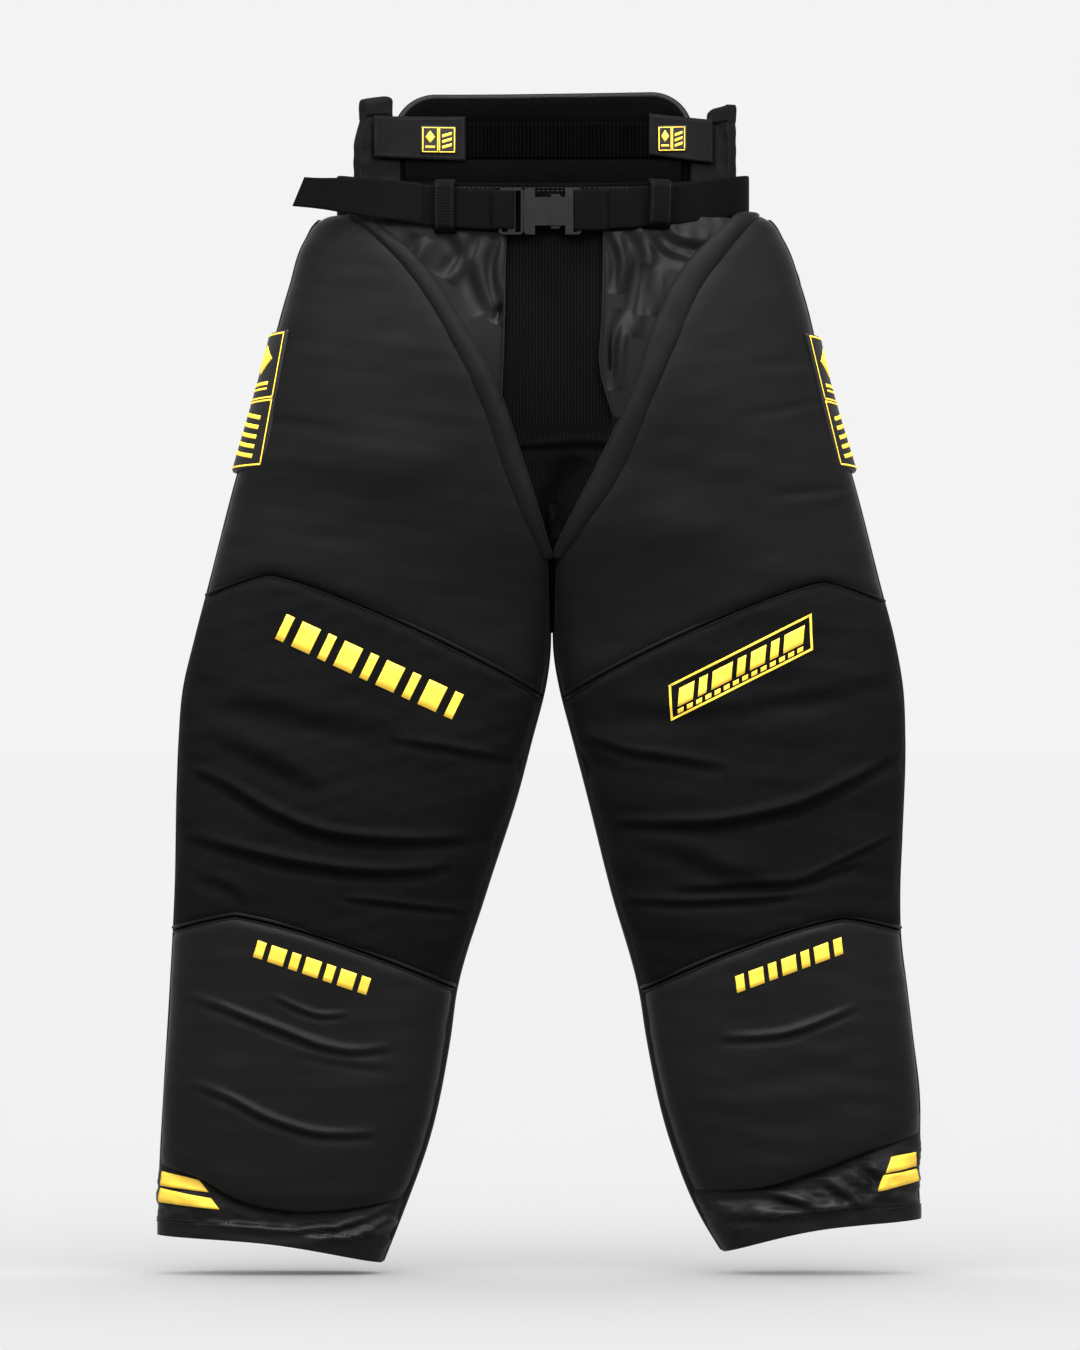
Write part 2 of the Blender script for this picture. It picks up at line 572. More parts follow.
# The folds that show on each leg: a path over (x, z), then its half width, its depth and its lip's share of
# that.
kneeFolds = {
    -1: [([(-0.360, -0.562), (-0.318, -0.580), (-0.273, -0.607), (-0.228, -0.626),
           (-0.183, -0.634), (-0.123, -0.637), (-0.069, -0.635)], 0.0055, 0.0062, 1.0),
         ([(-0.357, -0.632), (-0.303, -0.646), (-0.249, -0.658), (-0.183, -0.667),
           (-0.123, -0.667), (-0.090, -0.661)], 0.0055, 0.0062, 0.9),
         ([(-0.201, -0.692), (-0.153, -0.697), (-0.078, -0.706)], 0.0035, 0.0032, 0.7),
         ([(-0.345, -0.494), (-0.300, -0.503), (-0.250, -0.515), (-0.195, -0.526), (-0.140, -0.533)],
          0.013, 0.0034, 0.7),
         ([(-0.342, -0.532), (-0.300, -0.548), (-0.268, -0.563), (-0.220, -0.588)], 0.011, 0.0036, 0.8),
         ([(-0.153, -0.535), (-0.093, -0.544), (-0.030, -0.556)], 0.0045, 0.0030, 0.8),
         ([(-0.348, -0.672), (-0.315, -0.682), (-0.294, -0.703)], 0.007, 0.0024, 0.6)],
    1: [([(0.060, -0.504), (0.137, -0.511), (0.227, -0.502), (0.287, -0.491), (0.344, -0.479)],
         0.010, 0.0030, 0.7),
        ([(0.041, -0.532), (0.083, -0.547), (0.122, -0.553), (0.182, -0.564)], 0.005, 0.0038, 1.0),
        ([(0.071, -0.619), (0.113, -0.620), (0.167, -0.619), (0.221, -0.610),
          (0.263, -0.598), (0.317, -0.572), (0.353, -0.553)], 0.0055, 0.0062, 1.0),
        ([(0.125, -0.684), (0.165, -0.6825), (0.203, -0.680), (0.257, -0.676), (0.317, -0.656)],
         0.005, 0.0050, 0.5),
        ([(0.263, -0.670), (0.311, -0.647), (0.353, -0.626)], 0.003, 0.0028, 0.8),
        ([(0.089, -0.640), (0.137, -0.652), (0.182, -0.670), (0.225, -0.676)], 0.011, 0.0040, 0.7),
        ([(0.080, -0.695), (0.137, -0.697), (0.209, -0.694), (0.258, -0.690)], 0.0045, 0.0042, 0.7)]}
shinFolds = {
    -1: [([(-0.355, -0.791), (-0.324, -0.801), (-0.290, -0.814), (-0.256, -0.827),
           (-0.222, -0.840), (-0.188, -0.846), (-0.150, -0.842)], 0.0042, 0.0030, 1.5),
         ([(-0.271, -0.789), (-0.244, -0.802), (-0.222, -0.809), (-0.194, -0.808)], 0.0032, 0.0018, 1.4),
         ([(-0.351, -0.878), (-0.312, -0.893), (-0.278, -0.911), (-0.233, -0.926),
           (-0.199, -0.929), (-0.165, -0.928)], 0.0042, 0.0028, 1.5),
         ([(-0.250, -0.845), (-0.200, -0.856), (-0.150, -0.862)], 0.005, 0.0012, 0.5)],
    1: [([(0.176, -0.832), (0.205, -0.832), (0.237, -0.829), (0.262, -0.822),
          (0.290, -0.811), (0.314, -0.801)], 0.0040, 0.0026, 1.5),
        ([(0.150, -0.905), (0.220, -0.912), (0.300, -0.902)], 0.012, 0.0012, 0.6),
        ([(0.200, -0.870), (0.270, -0.862), (0.330, -0.845)], 0.010, 0.0010, 0.6)]}
thighFolds = {
    -1: [([(-0.31, -0.285), (-0.24, -0.282), (-0.17, -0.275)], 0.018, 0.0014, 0.5),
         ([(-0.31, -0.205), (-0.27, -0.215), (-0.21, -0.219)], 0.006, 0.0007, 0.6)],
    1: [([(0.322, -0.278), (0.275, -0.285), (0.22, -0.289)], 0.005, 0.0009, 0.6),
        ([(0.300, -0.185), (0.255, -0.200), (0.19, -0.212)], 0.005, 0.0008, 0.6),
        ([(0.290, -0.150), (0.250, -0.158), (0.20, -0.160)], 0.006, 0.0006, 0.6)]}


# the sum of a list of folds, as a relief over (side, x, z)
def foldsOf(folds):
    def relief(side, x, z):
        return sum(crease(x, z, path, wide, deep, lip) for path, wide, deep, lip in folds[side])
    return relief


# the thigh pad is a soft mound, fullest at mid thigh, hollow towards the V of the crotch, with faint draws
# along it
def thighRelief(side, x, z):
    soft = 0.0055 * np.exp(-((side * x - (0.145 if side < 0 else 0.135)) / 0.055) ** 2
                           - ((z + (0.258 if side < 0 else 0.322)) / 0.028) ** 2)
    mound = soft + 0.004 * np.exp(-((side * x - 0.20) / 0.10) ** 2 - ((z + 0.30) / 0.14) ** 2)
    hollow = 0.004 * np.exp(-((side * x - 0.07) / 0.06) ** 2 - ((z + 0.40) / 0.06) ** 2)
    return (mound - hollow + foldsOf(thighFolds)(side, x, z) + 0.0007 * ripple(x * 0.5, z, 0.10, 3 + side)
            + 0.00025 * ripple(x * 0.3, z, 0.022, 9 + side))


# the knee pad has transverse channels that pull in at the sides, its deep folds, and small draws beside them
def kneeRelief(side, x, z):
    channels = -0.0022 * sum(np.exp(-((z - height) / 0.010) ** 2) for height in (-0.478, -0.556, -0.634))
    nearSides = smooth(0.10, 0.16, np.abs(side * x - 0.5 * (legInner[side](z) + legOuter[side](z))))
    return (foldsOf(kneeFolds)(side, x, z) + channels * nearSides
            + 0.0009 * ripple(x * 0.45, z, 0.055, 20 + side) + 0.0003 * ripple(x * 0.3, z, 0.018, 25 + side))


# the shin pad has its folds, slow waves and fine ones
def shinRelief(side, x, z):
    return (foldsOf(shinFolds)(side, x, z) + 0.0008 * ripple(x * 0.5, z, 0.12, 30 + side)
            + 0.0003 * ripple(x * 0.3, z, 0.025, 35 + side))


padLift = dict(thigh=0.006, knee=0.006, shin=0.005)  # how far each pad's crown stands over its seams
padSink = 0.004  # how far its seams lie inside the frame's surface


# A panel between an upper and a lower seam, both given by share. Its edges fall away as quarter circles of
# the given widths, so that it is crowned, and its relief is added along the surface's outward direction.
def bodyPanel(name, side, face, top, bottom, inner, lift, edges, thick, relief, grid, material, slot, moves):
    rows, cols = grid
    u, v = np.meshgrid(np.linspace(0, 1, cols), np.linspace(0, 1, rows))
    w, v = crowd(u, 0.85), crowd(v, 0.6)
    z = mix(top(w), bottom(w), v)
    start = np.clip(inner(z), 0, 0.98)
    s = start + (1 - start) * w
    base, n = bodyPoint(side, face, s, z), bodyNormal(side, face, s, z)
    width = legOuter[side](z) - legInner[side](z)
    shape = (dome((top(w) - z) / edges[0]) * dome((z - bottom(w)) / edges[1])
             * dome((s - start) * width / edges[2]) * dome((1 - s) * width / edges[3]))
    high = lift * shape - padSink + relief(side, base[..., 0], z) * smooth(0.0, 0.8, shape)
    outer = base + n * high[..., None]
    innerSkin = base - n * (padSink + 0.0015 + thick * shape)[..., None]
    return shell(name, outer, innerSkin, material, slot, moves)


# the same place on a finished pad, away from its edges, lifted a little more
def padPoint(side, x, z, part, extra):
    s = shareAt(side, x, z)
    relief = dict(thigh=thighRelief, knee=kneeRelief, shin=shinRelief)[part]
    high = padLift[part] - padSink + relief(side, x, z) + extra
    return bodyPoint(side, -1, s, z) + bodyNormal(side, -1, s, z) * high[..., None]


# an edge that stays at one value
def level(value):
    return lambda s: value + 0 * s


for side in (-1, 1):
    leg = sideName[side]

    # the pad starts at its own edge above the crotch, and at the leg's inner edge below
    def padStart(z, side=side):
        share = (padInner[side](z) - legInner[side](z)) / (legOuter[side](z) - legInner[side](z))
        return np.where(z > size["crotchZ"], share, 0.0)
    thighPad = bodyPanel(leg + "ThighPad", side, -1, level(-0.006), kneeTop[side], padStart, padLift["thigh"],
                         (0.030, 0.016, 0.026, 0.030), 0.012, thighRelief,
                         (190, 130), "thigh polyamide", "thigh_fabric", ("hip", side))
    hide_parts(leg + "_thigh_pad_top", leg + "_thigh_pad", leg + "_thigh_foam")
    kneePad = bodyPanel(leg + "KneePad", side, -1, lambda s, side=side: kneeTop[side](s) - 0.002,
                        kneeBottom[side], level(0.0), padLift["knee"],
                        (0.010, 0.010, 0.018, 0.018), 0.012, kneeRelief,
                        (230, 130), "knee polyester", "knee_fabric", ("knee", side))
    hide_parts(leg + "_knee_pad_top", leg + "_knee_foam_top", leg + "_knee_pad", leg + "_knee_foam")
    shinPad = bodyPanel(leg + "ShinPad", side, -1, lambda s, side=side: kneeBottom[side](s) - 0.002,
                        padEnd[side], level(0.0), padLift["shin"],
                        (0.010, 0.022, 0.016, 0.016), 0.009, shinRelief,
                        (200, 130), "shin polyamide", "shin_fabric", leg + "_shin")
    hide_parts(leg + "_shin_pad", leg + "_shin_foam")
print("front pads made")

backStep = dict(upper=-0.42, lower=-0.785)  # the heights where the panels behind meet
seatSide = dict(half=0.130, slope=1.07)  # the seat's half width, and how fast its sides come in below


# the cloth behind: short waves behind the knee that fade as a bell above and below it, and slow waves all
# over
def backRelief(side, x, z):
    behindKnee = 0.0035 * np.sin((z - kneeZ) * 2 * pi / 0.055) * np.exp(-((z - kneeZ) / 0.075) ** 2)
    return (behindKnee + 0.0022 * ripple(x * 0.7, z, 0.11, 40 + side)
            + 0.0007 * ripple(x * 0.5, z, 0.03, 44 + side))


# A panel laid flat: the width of its widest row by its length, and its area, from the lengths of its rows.
def flatSize(side, face, top, bottom, first=0.0):
    z, s = np.meshgrid(np.linspace(top, bottom, 60), np.linspace(first, 1, 60), indexing="ij")
    p = bodyPoint(side, face, s, z)
    across = np.linalg.norm(np.diff(p, axis=1), axis=-1)
    width, length = across.sum(1).max(), abs(top - bottom)
    return (float(width), float(length)), float(across.sum(1).mean() * length)


for side in (-1, 1):
    leg = sideName[side]

    # the hip panel behind starts under the seat's edge
    def seatShare(z, side=side):
        start = np.minimum(seatSide["half"], (z - size["crotchZ"]) * seatSide["slope"]) - 0.001
        share = np.clip(start / (legOuter[side](z) - legInner[side](z)), 0, 1)
        return np.where(z > size["crotchZ"], share, 0)
    pieces = [("BackHip", -0.010, backStep["upper"], seatShare, "thigh polyamide",
               "thigh_fabric", ("hip", side), ["_back_hip_panel", "_back_thigh_panel"]),
              ("BackKnee", backStep["upper"], backStep["lower"], level(0.0),
               "knee polyester", "knee_fabric", ("knee", side), ["_back_calf_panel"]),
              ("BackCalf", backStep["lower"], -0.985, level(0.0), "shin polyamide",
               "shin_fabric", leg + "_shin", [])]
    for name, top, bottom, inner, material, slot, moves, nodes in pieces:
        piece = bodyPanel(leg + name, side, 1, level(top), level(bottom),
                          inner, 0.003, (0.006, 0.006, 0.010, 0.012), 0.002,
                          backRelief, (110, 90), material, slot, moves)
        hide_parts(*[leg + n for n in nodes])
        flat, area = flatSize(side, 1, top, bottom, 0.3 if name == "BackHip" else 0.0)
print("back made")

# One closed tube round each leg, from inside the shin pad's lower edge down to the hem. A full turn is
# measured from the outer side over the front to the inner side and back.
cuff = dict(rows=100, around=240, thick=0.0012, crinkle=0.0013)
cuffStart = {-1: -0.945, 1: -0.905}
cuffDraws = {-1: [[(-0.145, -0.985), (-0.20, -1.006), (-0.27, -1.012), (-0.34, -1.006)],
                  [(-0.15, -1.00), (-0.19, -1.018), (-0.24, -1.024)],
                  [(-0.21, -1.02), (-0.26, -1.026), (-0.33, -1.018)],
                  [(-0.13, -0.978), (-0.18, -0.992), (-0.22, -0.997)]],
             1: [[(0.165, -0.99), (0.22, -0.988), (0.28, -1.006)],
                 [(0.27, -0.97), (0.30, -0.99), (0.315, -1.004)],
                 [(0.18, -1.01), (0.25, -1.012), (0.34, -0.998)],
                 [(0.31, -0.955), (0.33, -0.97), (0.325, -0.985)]]}


# the share of the way across the leg at a part of the turn round it: 1 at the outer seam, 0 at the inner one
def cuffShare(turn):
    return mix(0.5 + 0.5 * np.cos(turn * 2 * pi), np.abs(1 - turn * 2), 0.35)


# The cuff's outer skin at a part of the turn and of the way down, and its outward direction. It starts close
# inside the shin pad and comes out to the leg's surface, with slanting crinkles and longer draws.
def cuffSkin(side, turn, v):
    s = cuffShare(turn)
    z = mix(cuffStart[side], hemEnd[side](s), v)
    p = np.where((turn < 0.5)[..., None], bodyPoint(side, -1, s, z), bodyPoint(side, 1, s, z))
    centre = np.stack([side * 0.5 * (legInner[side](z) + legOuter[side](z)), 0 * z, z], -1)
    out = (p - centre) * np.array([0.25, 1, 0])
    out /= np.maximum(np.linalg.norm(out, axis=-1, keepdims=True), 1e-6)
    below = (padEnd[side](s) - z) / 0.030
    loose = smooth(-0.2, 0.8, below) * (1 - 0.75 * smooth(0.80, 0.90, v))
    drawn = sum(crease(p[..., 0], z, path, 0.0055, 0.0045, 1.0)
                for path in cuffDraws[side]) * np.where(turn < 0.5, 1, 0.5)
    waves = (cuff["crinkle"] * ripple(p[..., 0] + 0.6 * (z + 1), (z + 1) * 1.7, 0.042, 50 + side)
             + 0.0004 * ripple(p[..., 0], z * 1.6, 0.016, 55 + side))
    inset = -0.011 * (1 - smooth(-0.3, 0.9, below)) - 0.002
    return p + out * ((waves + drawn) * loose)[..., None] + out * np.array([0.12,
                                                                            1, 1]) * inset[..., None], out


for side in (-1, 1):
    leg = sideName[side]
    turn, v = np.meshgrid(np.arange(cuff["around"]) / cuff["around"], np.linspace(0, 1, cuff["rows"]))
    outer, out = cuffSkin(side, turn, v)
    inner = outer - out * cuff["thick"]
    rows, cols = turn.shape
    faces = gridFaces(rows, cols, aroundCols=True)
    count = rows * cols
    rims = []
    for start in (0, (rows - 1) * cols):
        a = start + np.arange(cols)
        b = start + (np.arange(cols) + 1) % cols
        rim = np.stack([a, a + count, b + count, b], -1)
        rims.append(rim if start == 0 else rim[:, ::-1])
    faces = np.concatenate([faces, faces[:, ::-1] + count] + rims)
    e, f = outer[:-1, 1:] - outer[:-1, :-1], outer[1:, :-1] - outer[:-1, :-1]
    if np.sum(np.cross(e, f) * out[:-1, :-1]) < 0:
        faces = faces[:, ::-1]
    ring = np.linalg.norm(np.roll(outer, -1, 1) - outer, axis=-1).sum(1)
    uv = np.stack([turn * ring[:, None], -outer[..., 2]], -1).reshape(-1, 2)
    tube = finishPiece(leg + "Cuff", np.concatenate([outer.reshape(-1, 3), inner.reshape(-1, 3)]),
                       faces, np.concatenate([uv, uv]),
                       "cuff satin", "satin", leg + "_shin")
    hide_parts(leg + "_cuff")
    length = float(cuffStart[side] - outer[-1, :, 2].mean())
    hem = outer + out * 0.0006
    for k, up in enumerate((0.016, 0.020)):
        row = int(round((1 - up / length) * (rows - 1)))
        loop = np.concatenate([hem[row], hem[row][:1]])
        stitches(leg + "HemStitch" + "AB"[k], loop, np.concatenate([out[row], out[row][:1]]),
                 leg + "_shin", slot="satin", length=0.0036, gap=0.0012, radius=0.0004)
print("cuffs made")


# a point of the waist's oval in front (-1) or behind (1), d outside it; x runs across
def waistPoint(face, x, z, d):
    y = (size["waistD"] + d) * roundAt(x / (size["waistW"] + np.maximum(d, 0) + 0.001))
    return np.stack([x + 0 * z, face * y, z + 0 * x], -1)


# the oval's outward direction at x, from a small step along it
def waistNormal(face, x):
    p = waistPoint(face, np.stack([x - 0.002, x + 0.002]), 0 * x, 0)
    n = np.stack([-(p[1] - p[0])[..., 1], (p[1] - p[0])[..., 0], 0 * x], -1)
    return unit(n * np.sign(n[..., 1:2]) * face)


# a point of the trunk's front or back over (x, z), lifted along its outward direction
def trunkPoint(face, x, z, lift):
    middle = legInner[1](np.maximum(z, size["crotchZ"]))
    right = (x < middle)[..., None]
    s = {k: shareAt(k, x, z) for k in (-1, 1)}
    p = np.where(right, bodyPoint(-1, face, s[-1], z), bodyPoint(1, face, s[1], z))
    n = np.where(right, bodyNormal(-1, face, s[-1], z), bodyNormal(1, face, s[1], z))
    return p + unit(n) * np.asarray(lift)[..., None]


# A sheet of the trunk between two edges given by height; relief is over (x, z).
def trunkSheet(name, face, left, right, top, bottom, lift, thick, relief, grid, material, slot):
    rows, cols = grid
    u, v = np.meshgrid(np.linspace(0, 1, cols), np.linspace(0, 1, rows))
    z = mix(top, bottom, v) + 0 * u
    x = mix(left(z), right(z), u)
    high = lift + relief(x, z)
    return shell(name, trunkPoint(face, x, z, high), trunkPoint(face, x, z, high - thick),
                 material, slot, "trunk")


flyEdge = {-1: curve([(-0.012, 0.035), (-0.035, 0.036), (-0.109, 0.0375), (-0.215, 0.041)]),
           1: curve([(-0.012, 0.059), (-0.035, 0.059), (-0.109, 0.058), (-0.164, 0.056), (-0.215, 0.070)])}


# the fly has a seam low down with a hollow under it, a dip under the buckle, and slow waves
def flyRelief(x, z):
    seam = (0.0018 * np.exp(-((z + 0.238 - 0.004 * np.sin(x * 40)) / 0.0035) ** 2)
            - 0.003 * np.exp(-((z + 0.244) / 0.004) ** 2))
    hollow = crease(x, z, [(0.032, -0.250), (0.022, -0.275), (0.012, -0.300), (0.008, -0.330)],
                    0.013, 0.012, 0.2)
    dips = crease(x, z, [(-0.020, -0.06), (0.004, -0.10), (0.012, -0.15)], 0.018, 0.0022, 0.6)
    return seam + hollow + dips + 0.0008 * ripple(x, z * 0.6, 0.05, 61)


fly = trunkSheet("flyPanel", -1, lambda z: -np.minimum(0.044, bindInner[-1](z) + 0.014),
                 lambda z: np.minimum(0.068, bindInner[1](z) + 0.014),
                 -0.014, -0.352, -0.004, 0.003, flyRelief, (160, 70), "rib knit", "stretch_knit")
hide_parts("fly_panel")

satinFolds = {
    1: [([(0.062, -0.028), (0.071, -0.055), (0.069, -0.088)], 0.0045, 0.0040),
        ([(0.082, -0.026), (0.094, -0.050), (0.089, -0.090), (0.081, -0.130)], 0.006, 0.0050),
        ([(0.112, -0.030), (0.135, -0.043), (0.165, -0.046)], 0.006, 0.0045),
        ([(0.077, -0.105), (0.069, -0.14), (0.067, -0.185)], 0.005, 0.0045),
        ([(0.104, -0.060), (0.101, -0.110)], 0.007, 0.0045),
        ([(0.098, -0.028), (0.120, -0.050), (0.150, -0.060)], 0.005, 0.0030)],
    -1: [([(-0.045, -0.028), (-0.052, -0.070), (-0.043, -0.108)], 0.0050, 0.0040),
         ([(-0.066, -0.030), (-0.077, -0.060), (-0.062, -0.110)], 0.007, 0.0040),
         ([(-0.098, -0.028), (-0.088, -0.050), (-0.102, -0.072)], 0.006, 0.0035),
         ([(-0.040, -0.098), (-0.048, -0.118)], 0.004, 0.0045),
         ([(-0.125, -0.030), (-0.137, -0.058)], 0.006, 0.0030)]}
for side in (-1, 1):
    leg = sideName[side]
    zEnd = -0.196 if side < 0 else -0.213

    # its folds, fine pleats below the waistband that fade downwards, and slow waves
    def satinRelief(x, z, side=side):
        fading = 1 - smooth(0.0, 0.065, -z - 0.02)
        pleats = 0.0004 * np.sin(x * 2 * pi / 0.017 + 2 * np.sin(z * 60)) * fading
        return (sum(crease(x, z, path, w * 1.15, d, 1.0) for path, w, d in satinFolds[side])
                + pleats + 0.0006 * ripple(x, z * 0.5, 0.045, 70 + side))
    satin = trunkSheet(leg + "HipSatin", -1, lambda z, side=side: side * flyEdge[side](z),
                       lambda z, side=side: side * np.maximum(bindInner[side](z) + 0.012,
                                                              flyEdge[side](z) + 0.003),
                       -0.012, zEnd, -0.0015, 0.0015, satinRelief, (130, 90), "satin", "satin")
    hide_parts(leg + "_hip_panel")
    edge = np.linspace(-0.024, zEnd, 60)
    piping(leg + "FlySeam", trunkPoint(-1, side * (flyEdge[side](edge) + 0.001), edge, 0.0005 + 0 * edge),
           repeated([0, -1.0, 0], 60), 0.0012, "satin", "satin", "trunk")
    # the pad's bound edge: a soft roll between two seams
    u, v = np.meshgrid(np.linspace(0, 1, 24), np.linspace(0, 1, 150))
    z = mix(-0.008, -0.350, v)
    x = side * mix(bindInner[side](z), padInner[side](z) + 0.008, u)
    roll = (0.0052 * np.sin(pi * np.clip(u * 1.02, 0, 1)) ** 0.55 - 0.0015
            + 0.0003 * ripple(x, z, 0.03, 80 + side))
    bound = shell(leg + "PadBinding", trunkPoint(-1, x, z, roll), trunkPoint(-1, x, z, roll * 0 - 0.004),
                  "thigh polyamide", "thigh_fabric", ("hip", side))
    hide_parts(leg + "_thigh_binding")
print("fly and hips made")


# The seat's sides run down the slant of the hip fold, so that it stays with the trunk: a straight line up
# to its half width.
def seatEdge(z):
    return np.minimum(seatSide["half"], np.maximum(z - size["crotchZ"], 0) * seatSide["slope"] + 0.004)


seat = trunkSheet("seatPanel", 1, lambda z: -seatEdge(z) - 0.006 + 0.009 * smooth(0.1, 0.35, -z),
                  lambda z: seatEdge(z) + 0.006 + 0.009 * smooth(0.1, 0.35, -z),
                  -0.010, -0.345, -0.001, 0.002,
                  lambda x, z: 0.0015 * ripple(x, z, 0.09, 90) + 0.0010 * np.exp(-(x / 0.0025) ** 2),
                  (110, 110), "thigh polyamide", "thigh_fabric")
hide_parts("seat_panel")
# the gusset: a web that closes the crotch between front and back
u, v = np.meshgrid(np.linspace(0, 1, 60), np.linspace(0, 1, 30))
z = mix(-0.325, -0.405, v)
leg = smooth(-hipZ, 0.460, -z)
ends = [-depthCurve[-1](z) * (1 - leg) * 0.98, depthCurve[1](z) * (1 - leg) * 0.98]
web = np.stack([legInner[1](z) + 0.0012 * np.sin(u * 30), mix(ends[0], ends[1], u),
                z - 0.02 * np.sin(pi * u) * v], -1)
gusset = shell("crotchGusset", web + np.array([0.003, 0, 0]), web - np.array([0.003, 0, 0]),
               "rib knit", "stretch_knit", "trunk")
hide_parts("crotch_gusset")


# A band in front (-1) or behind (1), half long to each side, between heights given by x. It stands d
# outside the waist's oval, and its relief is over x, the height and the share v of its width.
def bandSheet(name, face, half, bottom, top, d, thick, material, slot, relief=None, cols=160, rows=14):
    a, v = np.meshgrid(np.linspace(-1, 1, cols), np.linspace(0, 1, rows))
    x = half * np.sin(a * pi / 2)
    z = mix(bottom(x), top(x), v)
    bump = (0 if relief is None else relief(x, z, v)) + 0 * x
    n = waistNormal(face, x)
    base = waistPoint(face, x, z, 0)
    return shell(name, base + n * (d + bump)[..., None], base + n * (d - thick + bump)[..., None],
                 material, slot, "trunk")


# the height of the belt's middle line at x: a parabola, lowest in front
def beltZ(x):
    return mix(-size["beltDip"], size["beltRise"], (x / size["waistW"]) ** 2)


# the height of the band's upper edge in front: another parabola over the belt's
def bandTop(x):
    return beltZ(x) + 0.019 + mix(0.008, -0.004, (x / size["waistW"]) ** 2)


frontBand = bandSheet("waistbandFront", -1, 0.2015, lambda x: beltZ(x) - 0.022, bandTop, 0.0015, 0.003,
                      "band twill", "band_fabric",
                      lambda x, z, v: 0.0008 * np.sin(x * 2 * pi / 0.021) * np.sin(pi * v)
                      + 0.0006 * ripple(x, z, 0.03, 95), rows=22)
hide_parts("waistband_front")
backBandLow = bandSheet("waistbandBack", 1, 0.2015, level(-0.011), level(0.027),
                        0.0015, 0.003, "band twill", "band_fabric",
                        lambda x, z, v: 0.0010 * np.sin(x * 2 * pi / 0.013) * np.sin(pi * v))
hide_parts("waistband_back")
waistElastic = bandSheet("waistElastic", 1, 0.196, level(-0.007), level(0.022),
                         -0.0022, 0.002, "elastic", "ribbed_elastic")
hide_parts("waist_elastic")
for name, up in (("A", 0.0045), ("B", 0.0075)):
    x = np.linspace(-0.196, 0.196, 300)
    stitches("bandStitch" + name, waistPoint(-1, x, bandTop(x) - up, 0) + waistNormal(-1, x) * 0.0022,
             waistNormal(-1, x), "trunk")

# the kidney pad: a rounded board of foam, bound along its edge, seen from inside
kidney = dict(half=0.149, corner=0.040, thick=0.008, lower=0.024)


# the board's upper edge, level between two corners that are quarter circles
def kidneyTop(x):
    q = np.clip((np.abs(x) - (kidney["half"] - kidney["corner"])) / kidney["corner"], 0, 1)
    return (size["backRise"] - 0.002 - kidney["corner"] * (1 - np.sqrt(1 - np.minimum(q, 0.995) ** 2))
            + 0.0015 * np.sin(x * 9))


a, v = np.meshgrid(np.linspace(-1, 1, 180), np.linspace(0, 1, 70))
x = kidney["half"] * np.sin(a * pi / 2)
v = crowd(v, 0.5)
z = mix(kidney["lower"], kidneyTop(x), v)
edgeShape = (dome((kidneyTop(x) - z) / 0.010) * dome((kidney["half"] - np.abs(x)) / 0.010)
             * dome((z - kidney["lower"]) / 0.006))
quilt = (-0.0016 * (np.exp(-((z - 0.090) / 0.0035) ** 2) + np.exp(-((z - 0.053) / 0.0035) ** 2))
         + 0.0006 * ripple(x, z, 0.05, 99))
n, base = waistNormal(1, x), waistPoint(1, x, z, 0)
back = shell("kidneyPad", base + n * (0.0005 + (0.0025 * edgeShape + quilt * edgeShape))[..., None],
             base - n * (kidney["thick"] * mix(0.55, 1, edgeShape) + 0.0015 * edgeShape + quilt)[..., None],
             "lining mesh", "kidney_mesh", "trunk")
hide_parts("kidney_pad")
a = np.linspace(-1, 1, 260)
x = kidney["half"] * np.sin(a * pi / 2)
rim = waistPoint(1, x, kidneyTop(x), 0) - waistNormal(1, x) * 0.003
piping("kidneyBinding", rim, waistNormal(1, x), 0.0035, "binding tape", "band_fabric",
       "trunk", flat=1.1, sides=12)
ribbed = bandSheet("ribbedElastic", 1, 0.143, level(0.0535), level(0.0895),
                   -0.0098, 0.002, "elastic", "ribbed_elastic",
                   lambda x, z, v: 0.0004 * np.sin(x * 2 * pi / 0.0045), cols=500)
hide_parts("ribbed_elastic")
backBand = bandSheet("backBand", 1, 0.143, level(0.024), level(0.0525), -0.0098,
                     0.002, "band twill", "band_fabric",
                     lambda x, z, v: -0.0016 * np.sin(pi * v) + 0.0004 * ripple(x, z, 0.05, 101), rows=20)
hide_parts("back_band")

# side wings: padded upright ends of the back, with a cap folded over the top
wing = {-1: dict(reach=(0.142, 0.189), top=(0.1165, 0.110), slim=(0.012, 0.006)),
        1: dict(reach=(0.150, 0.1925), top=(0.101, 0.107), slim=(0.018, 0.001))}
for side in (-1, 1):
    w, leg = wing[side], sideName[side]
    u, v = np.meshgrid(np.linspace(0, 1, 40), np.linspace(0, 1, 80))
    v = crowd(v, 0.5)
    narrow = smooth(0.45, 0.85, v)
    x = mix(w["reach"][0] + narrow * w["slim"][0], w["reach"][1] - narrow * w["slim"][1],
            np.sin(u * pi / 2)) * side
    z = mix(0.024, mix(w["top"][0], w["top"][1], u) - 0.006 * (2 - dome(u / 0.25) - dome((1 - u) / 0.25)), v)
    shape = dome(u / 0.15) * dome((1 - u) / 0.15) * dome((1 - v) / 0.07)
    capped = 0.0012 * smooth(0.79, 0.81, v) - 0.0012 * np.exp(-((v - 0.79) / 0.012) ** 2)
    n, base = waistNormal(1, x), waistPoint(1, x, z, 0)
    skin = 0.0005 * ripple(x, z, 0.02, 105 + side) + capped
    piece = shell(leg + "SideWing", base + n * (0.001 + 0.0015 * shape + skin)[..., None],
                  base - n * (0.0055 + 0.0025 * shape + skin)[..., None],
                  "tab fabric", "tab_fabric", "trunk")
    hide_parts(leg + "_side_wing")
print("bands made")

